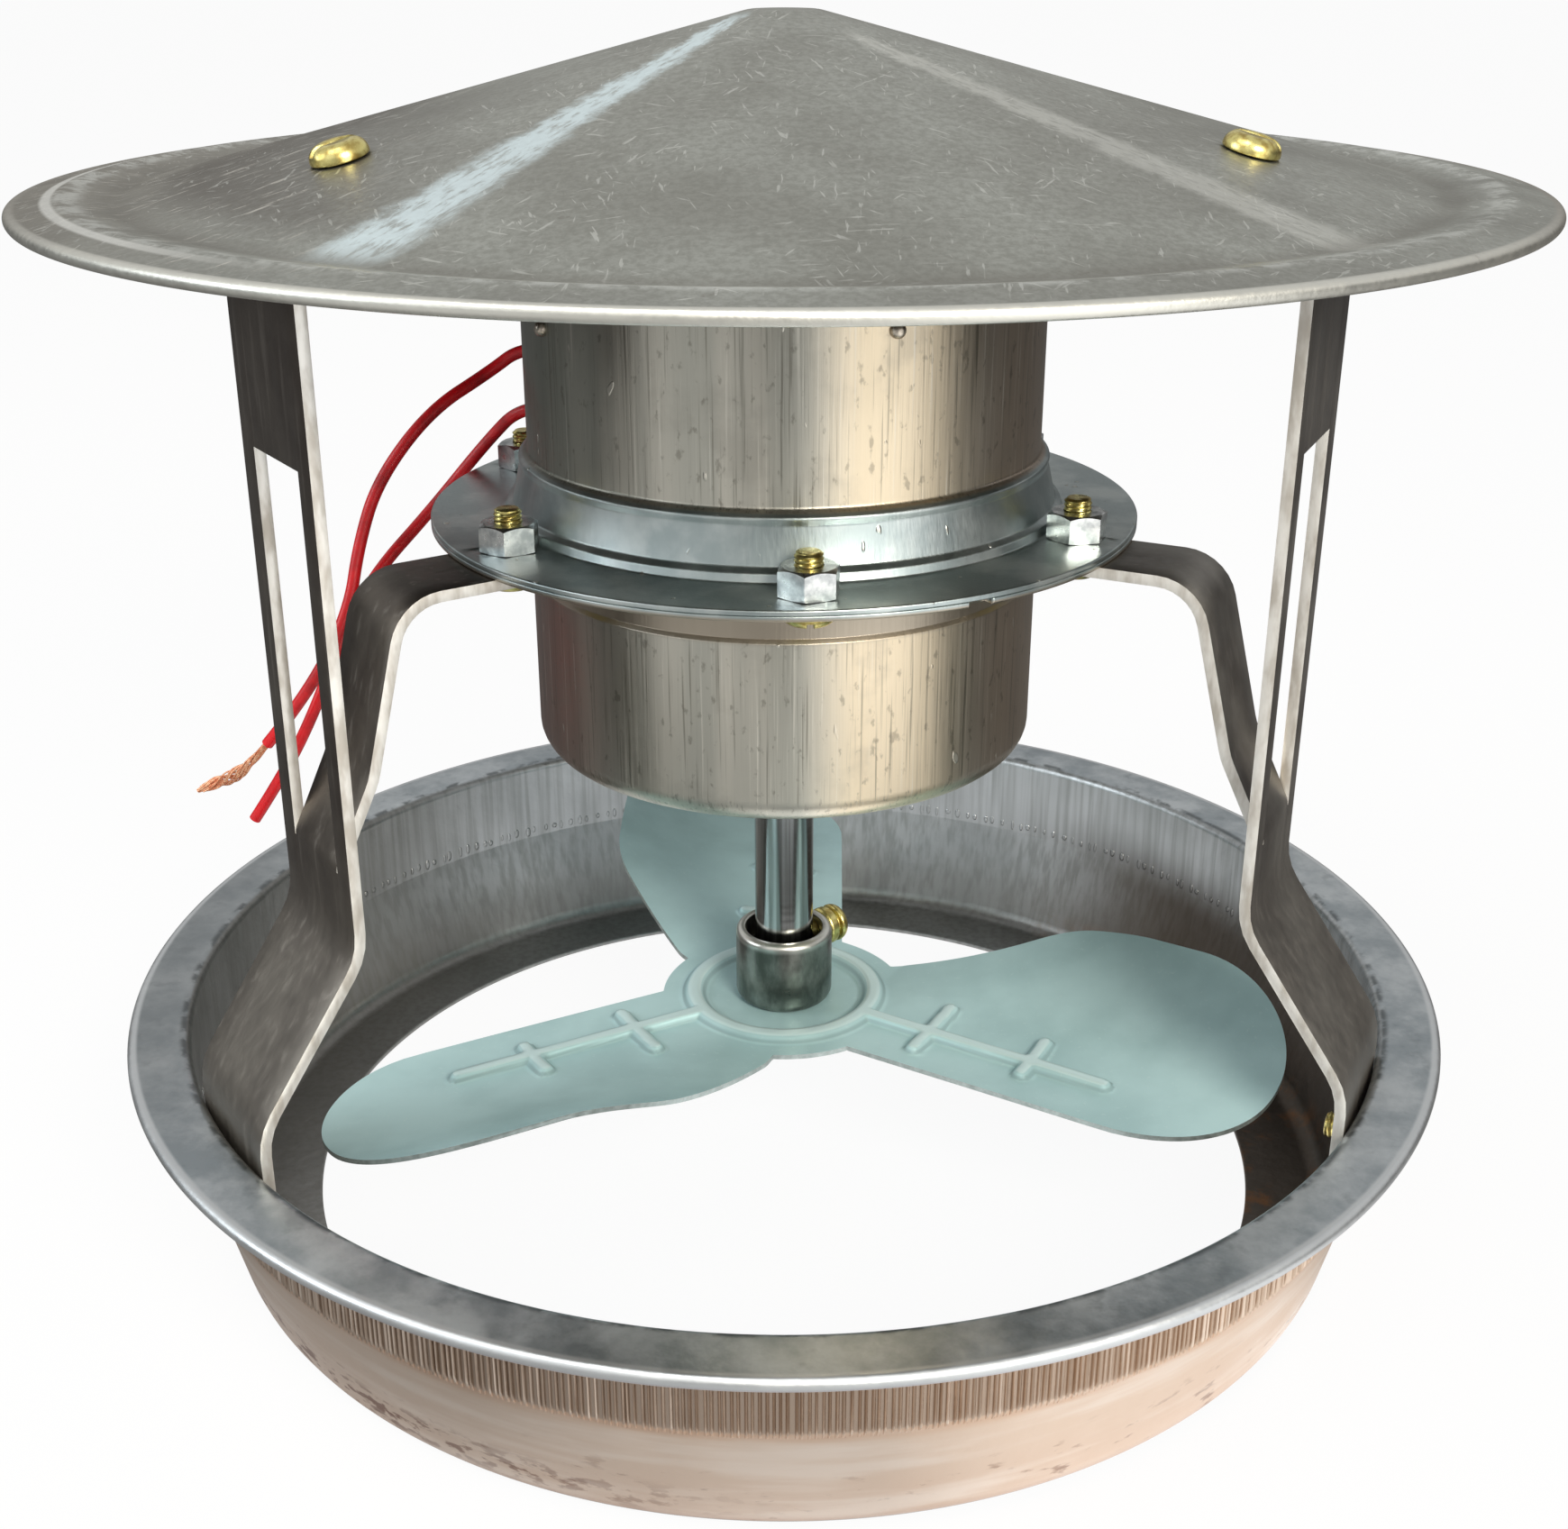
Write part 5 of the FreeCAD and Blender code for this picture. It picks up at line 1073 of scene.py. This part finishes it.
def plate_height(across, beside):
    """Height of the pressed sheet above the flat disc, in a blade's own frame, and how far up a rib it is."""
    opened = max(0.0, min(1.0, (across - CAMBER_START) / (CAMBER_FULL - CAMBER_START)))
    bend = (1 - (1 - opened) ** CAMBER_GROWTH) / CAMBER_RADIUS
    off = beside + CAMBER_OFFSET
    rise = (1 - math.sqrt(1 - (bend * off) ** 2)) / bend if bend > 1e-5 else 0.0
    press = ease((RIB_HALF_WIDTH + 0.3 - abs(math.hypot(across, beside) - RING_RIB_RADIUS)) / RIB_FLANK)
    for (x1, y1), (x2, y2) in RIBS:
        share = max(0.0, min(1.0, ((across - x1) * (x2 - x1) + (beside - y1) * (y2 - y1))
                             / ((x2 - x1) ** 2 + (y2 - y1) ** 2)))
        apart = math.hypot(across - x1 - share * (x2 - x1), beside - y1 - share * (y2 - y1))
        press = max(press, ease((RIB_HALF_WIDTH - apart) / RIB_FLANK))
    return rise + RIB_RISE * press, press


def press_fan():
    """The plate's two faces, laid out as rays from the bore to its edge, and the cut edge between them."""
    shape = bmesh.new()
    pressed = shape.verts.layers.float.new("pressed")
    start, end = BLADE_SECTOR
    angles = [start + (end - start) * step / BLADE_COLUMNS for step in range(BLADE_COLUMNS)]
    angles += [end + (120 + start - end) * step / GAP_COLUMNS for step in range(GAP_COLUMNS)]
    farthest = max(reach for angle, reach in BLADE_EDGE)
    rays = []
    for blade in range(3):
        for angle in angles:
            reach = edge_reach(angle)
            own = math.radians(angle)
            spin = math.radians(BLADE_AZIMUTH + 120 * blade + angle)
            upper, lower = [], []
            for row in range(BLADE_ROWS + 1):
                away = min(reach, PLATE_BORE + (farthest - PLATE_BORE) * row / BLADE_ROWS)
                lift, press = plate_height(away * math.cos(own), away * math.sin(own))
                for face, up in ((upper, FAN_SHEET), (lower, 0)):
                    spot = (away * math.cos(spin), away * math.sin(spin), FAN_UNDER + up + lift)
                    face.append(shape.verts.new(spot))
                    face[-1][pressed] = press
            rays.append(upper + lower[::-1])
    count = len(rays[0])
    for ray, other in zip(rays, rays[1:] + rays[:1]):
        for row in range(count):
            beside = (row + 1) % count
            face = shape.faces.new((ray[row], ray[beside], other[beside], other[row]))
            if row in (BLADE_ROWS, count - 1):
                face.material_index = 1
    return close_shape("pressed_fan", shape, 60)


fan_sheet, shader, place = new_finish("fan_galvanised_sheet", 0.3, 0.42)
bloom = cloud(place, 26, shift=5.0, detail=4)
fine = cloud(place, 1.1, detail=3)
colour = tint(span(bloom, 0.3, 0.7), seen(174, 209, 211), seen(196, 230, 232))
colour = tint(span(fine, 0.6, 0.75) * 0.3, colour, seen(214, 238, 238))
# Painted light on the pressed ribs: painted shade on their flanks and a painted highlight along their crests.
pressed = place.node("ShaderNodeAttribute", {"attribute_name": "pressed"}, {}, "Fac")
colour = tint(span(pressed, 0.02, 0.25) * span(pressed, 0.75, 0.4) * 0.5, colour, seen(122, 150, 152))
colour = tint(span(pressed, 0.8, 1.0) * 0.7, colour, seen(222, 246, 246))
apply_finish(shader, colour=colour, roughness=bloom * 0.2 + fine * 0.1 + 0.25, relief=bloom * 0.15)
fan_edge, shader, place = new_finish("fan_cut_edge", 0.8, 0.4)
burr = cloud(place, 1.5)
apply_finish(shader, colour=tint(burr, seen(120, 132, 130), seen(214, 226, 224)), roughness=burr * 0.3 + 0.25)
fan = new_piece("pressed_fan", press_fan(), fan_sheet)
fan.data.materials.append(fan_edge)
fit(fan, "rotor", "fan_sheet", "fan_plate")


# Rain cap: a shallow cone spun from one sheet, with a ridge pressed round its brim and a rolled edge.
# It is scratched all over, with two long pale streaks down its front.
CAP_RADIUS = 131.4
CAP_EDGE = 200
CAP_SHEET = 0.9
EDGE_ROLL = 2.2
RIDGE = (122.8, 203.4)
VALLEY = (114, 202)
APEX = (6, 230.5)
HOLE_RINGS = (40, 77, 89, 102)

cap_sheet, shader, place = new_finish("cap_galvanised_sheet", 1.0, 0.42)
height = axis(place, 2)
east = axis(place, 0)
north = axis(place, 1)
radius = radius_of(place)
mottle = cloud(place, 30, shift=0.6, detail=4)
wear_and_highlight_noise = cloud(place, 5, shift=1.4, detail=5, coarseness=0.7)
speckle = cloud(place, 1.3, shift=2.2, detail=2, coarseness=0.7)
colour = tint(span(mottle, 0.3, 0.7), seen(162, 162, 153), seen(184, 186, 178))
colour = tint(span(speckle, 0.3, 0.7) * 0.5, colour, seen(134, 134, 126))
# Painted shade: darker towards the far left.
colour = tint(span(east, -70, -125) * 0.6, colour, seen(140, 132, 120))
# Painted shade: the cone's underside is darker.
underside = span(radius * 0.26389 + height, 231.8, 231.5) * span(radius, VALLEY[0] + 1, VALLEY[0] - 1)
underside = underside * span(height, APEX[1] - 0.2, APEX[1] - 0.6)
colour = tint(underside, colour, seen(104, 98, 90))
scratches = 0
for number, turn in enumerate((12, -34, 58, -71, 88)):
    marks = span(cloud(place, 0.9, (7, 1, 7), turn, 0.3 + 0.5 * number, 2), 0.64, 0.72)
    area = span(cloud(place, 20, shift=3.1 + 0.3 * number), 0.42, 0.6)
    scratches = marks * area + scratches
scratches = span(scratches, 0, 1)


def pale_streak(start, end, narrow, wide):
    """A pale smear from one place on the cap to another, seen from above, ragged at its sides."""
    way = Vector(end) - Vector(start)
    far = way.length
    way.normalize()
    along_it = (east - start[0]) * way.x + (north - start[1]) * way.y
    across_it = (north - start[1]) * way.x - (east - start[0]) * way.y
    ragged = across_it.maths("ABSOLUTE", across_it + (wear_and_highlight_noise - 0.5) * 7)
    width = along_it * ((wide - narrow) / far) + narrow
    combed = cloud(place, 1.0, (1, 22, 1), math.degrees(math.atan2(way.y, way.x)) - 90, 4.0, 3)
    body = span(ragged / width, 1.0, 0.35) * span(along_it, -2, 6) * span(along_it, far + 4, far - 8)
    return body * (span(combed + wear_and_highlight_noise * 0.6, 0.55, 0.85) * 0.7 + 0.3)


# Painted shade: the cone is darker on its left, inside the brim.
colour = tint(span(east, -38, -80) * span(radius, 112, 100) * 0.6, colour, seen(96, 87, 78))
strokes = span(cloud(place, 1.2, (9, 1, 9), 38, 6.0, 3), 0.56, 0.68) * span(east, -45, -80)
colour = tint(strokes * span(wear_and_highlight_noise, 0.42, 0.6) * 0.8, colour, seen(226, 222, 212))
colour = tint(scratches * 0.5, colour, seen(230, 231, 224))
# Two long pale streaks down the front.
colour = tint(pale_streak((10, -14), (84, -86), 3, 8) * 0.55, colour, seen(230, 230, 222))
colour = tint(pale_streak((-7, -4), (-60, -97), 2.2, 9), colour, seen(236, 250, 252))
# Painted highlight along the brim's slope up to the ridge, broken up by noise.
brim_painted_highlight = span(radius, VALLEY[0] + 4, VALLEY[0] + 7) * span(radius, RIDGE[0] + 2, RIDGE[0])
colour = tint(brim_painted_highlight * span(wear_and_highlight_noise, 0.4, 0.6) * 0.6, colour, seen(232, 234, 228))
# Painted shade in the valley's crease.
colour = tint(span(radius, VALLEY[0] - 4, VALLEY[0]) * span(radius, VALLEY[0] + 4, VALLEY[0] + 1) * 0.4, colour,
              seen(126, 122, 112))
# Painted highlight: a bright arc along the brim's crease on the left.
west_arc = span(radius, VALLEY[0] + 9.5, VALLEY[0] + 10.2) * span(radius, VALLEY[0] + 12, VALLEY[0] + 11.2)
colour = tint(west_arc * span(east, -60, -100) * 0.8, colour, seen(246, 246, 240))
# Painted highlight: the rolled edge is lighter at the front than behind.
front = span(north, -20, -110)
colour = tint(span(radius, CAP_RADIUS - 2.2, CAP_RADIUS - 1.2), colour, tint(front, seen(164, 160, 150), seen(224, 223, 214)))
colour = tint(span(wear_and_highlight_noise, 0.66, 0.72) * 0.35, colour, seen(120, 112, 102))
apply_finish(shader, colour=colour, roughness=mottle * 0.15 + speckle * 0.2 + 0.24,
             relief=speckle * 0.05 + mottle * 0.3)


def cone_spot(away, below=0):
    """A place on the cone's straight side, at a distance from the axis."""
    share = (away - APEX[0]) / (VALLEY[0] - APEX[0])
    return away, APEX[1] + (VALLEY[1] - APEX[1]) * share - below


cap = new_piece("spun_cap", turned("spun_cap", with_bends([
    (0, APEX[1]),
    (APEX[0], APEX[1], 8),
    *[cone_spot(away) for away in HOLE_RINGS],
    (VALLEY[0], VALLEY[1], 5),
    (RIDGE[0], RIDGE[1], 4),
    (CAP_RADIUS - EDGE_ROLL, CAP_EDGE + EDGE_ROLL),
    (CAP_RADIUS, CAP_EDGE + EDGE_ROLL, 0.48 * EDGE_ROLL),
    (CAP_RADIUS, CAP_EDGE, 0.48 * EDGE_ROLL),
    (CAP_RADIUS - EDGE_ROLL, CAP_EDGE, 0.48 * EDGE_ROLL),
    (CAP_RADIUS - EDGE_ROLL, CAP_EDGE + EDGE_ROLL - CAP_SHEET),
    (RIDGE[0], RIDGE[1] - CAP_SHEET, 4),
    (VALLEY[0], VALLEY[1] - CAP_SHEET, 5),
    *[cone_spot(away, CAP_SHEET) for away in reversed(HOLE_RINGS)],
    (APEX[0], APEX[1] - CAP_SHEET, 8),
    (0, APEX[1] - CAP_SHEET),
], 6), sides=360), cap_sheet)
cut_out(cap, pins("cap_drill", [
    (around(azimuth, CAP_SCREW_RADIUS, CAP_SCREW_SEAT),
     around(azimuth, math.sin(math.radians(CONE_LEAN)), math.cos(math.radians(CONE_LEAN))),
     THREAD_RADIUS + THREAD_PLAY, 6) for azimuth in STRUT_AZIMUTHS.values()]))
fit(cap, "housing", "cap_sheet", "rain_cap")


# Studio: a wide pale floor, a white surround and three soft lamps. The metal mirrors the surround,
# brightest towards the front, and the floor keeps the fan's soft shadow.
FLOOR_HALF = 12
LIT_LEVEL = 0.55
floor_shape = bmesh.new()
bmesh.ops.create_grid(floor_shape, x_segments=1, y_segments=1, size=FLOOR_HALF)
floor_mesh = bpy.data.meshes.new("studio_floor")
floor_shape.to_mesh(floor_mesh)
floor_shape.free()
floor_paint = bpy.data.materials.new("studio_floor")
floor_paint.use_nodes = True
floor_tree = floor_paint.node_tree
floor_tree.nodes.clear()
start = Signal(floor_tree)


def mirror_level(start, way):
    """How bright the surround is where metal mirrors it: two bright windows in front, dim behind."""
    def towards(direction):
        return start.node("ShaderNodeVectorMath", {"operation": "DOT_PRODUCT"}, {0: way, 1: direction}, 1)

    level = span(towards((0.62, -0.78, 0)), 0.85, 0.98) * 1.36 + span(towards((-0.66, -0.75, 0)), 0.84, 0.97) * 0.4
    level = level + span(towards((0, -1, 0)), 0.2, 0.9) * 0.14
    return level + span(towards((0, 0, 1)), 0.1, 0.38) * 0.55 + 0.07


def seen_by_rays(start, output):
    return start.node("ShaderNodeLightPath", {}, {}, output)


from_camera = seen_by_rays(start, "Is Camera Ray")
from_metal = from_camera.maths("MAXIMUM", seen_by_rays(start, "Is Glossy Ray"),
                               seen_by_rays(start, "Is Transmission Ray"))
spot = start.node("ShaderNodeTexCoord", {}, {}, "Object")
way = start.node("ShaderNodeVectorMath", {"operation": "NORMALIZE"}, {0: spot})
away = start.node("ShaderNodeVectorMath", {"operation": "LENGTH"}, {0: spot}, 1)
front = start.node("ShaderNodeVectorMath", {"operation": "DOT_PRODUCT"}, {0: way, 1: (0.5, -0.87, 0)}, 1)
near = span(away, 0.5, 0.22)
paper = near * span(front, 0.45, 0.95) * 0.55 + span(away, 0.13, 0.1) * 0.75
level = from_camera + from_metal * (1 - from_camera) * (mirror_level(start, way) * (1 - near * 0.65) + paper)
glow = start.node("ShaderNodeEmission", {}, {"Color": (1, 1, 1, 1), "Strength": level})
matt = start.node("ShaderNodeBsdfDiffuse", {}, {"Color": (0.8, 0.8, 0.8, 1)})
share = from_camera * 0.93 + from_metal * (1 - from_camera) * 0.85
paint_mix = start.node("ShaderNodeMixShader", {}, {0: share, 1: matt, 2: glow})
leave = floor_tree.nodes.new("ShaderNodeOutputMaterial")
floor_tree.links.new(paint_mix.socket, leave.inputs["Surface"])
floor = new_piece("studio_floor", floor_mesh, floor_paint)

world = bpy.data.worlds.new("studio")
bpy.context.scene.world = world
world.use_nodes = True
world.node_tree.nodes.clear()
start = Signal(world.node_tree)
from_camera = seen_by_rays(start, "Is Camera Ray")
from_metal = from_camera.maths("MAXIMUM", seen_by_rays(start, "Is Glossy Ray"),
                               seen_by_rays(start, "Is Transmission Ray"))
way = start.node("ShaderNodeTexCoord", {}, {}, "Generated")
mirrored = from_metal * (1 - from_camera)
level = from_camera + mirrored * mirror_level(start, way) + (1 - from_camera) * (1 - from_metal) * LIT_LEVEL
surround = start.node("ShaderNodeBackground", {}, {"Color": (1, 1, 1, 1), "Strength": level})
leave = world.node_tree.nodes.new("ShaderNodeOutputWorld")
world.node_tree.links.new(surround.socket, leave.inputs["Surface"])


def hang_lamp(name, spot, size, power, colour):
    data = bpy.data.lights.new(name, "AREA")
    data.shape = "DISK"
    data.size = size
    data.energy = power
    data.color = colour
    lamp = bpy.data.objects.new(name, data)
    bpy.context.scene.collection.objects.link(lamp)
    lamp.location = spot
    lamp.rotation_euler = (Vector(spot) - Vector((0, 0, 0.12))).to_track_quat("Z", "Y").to_euler()


hang_lamp("key_lamp", (0.45, -1.0, 0.75), 0.5, 12, (1.0, 0.93, 0.82))
hang_lamp("side_lamp", (-1.1, -0.3, 0.6), 0.7, 4, (0.88, 0.95, 1.0))
hang_lamp("top_lamp", (-0.35, -0.45, 1.2), 0.8, 5, (1.0, 0.99, 0.97))
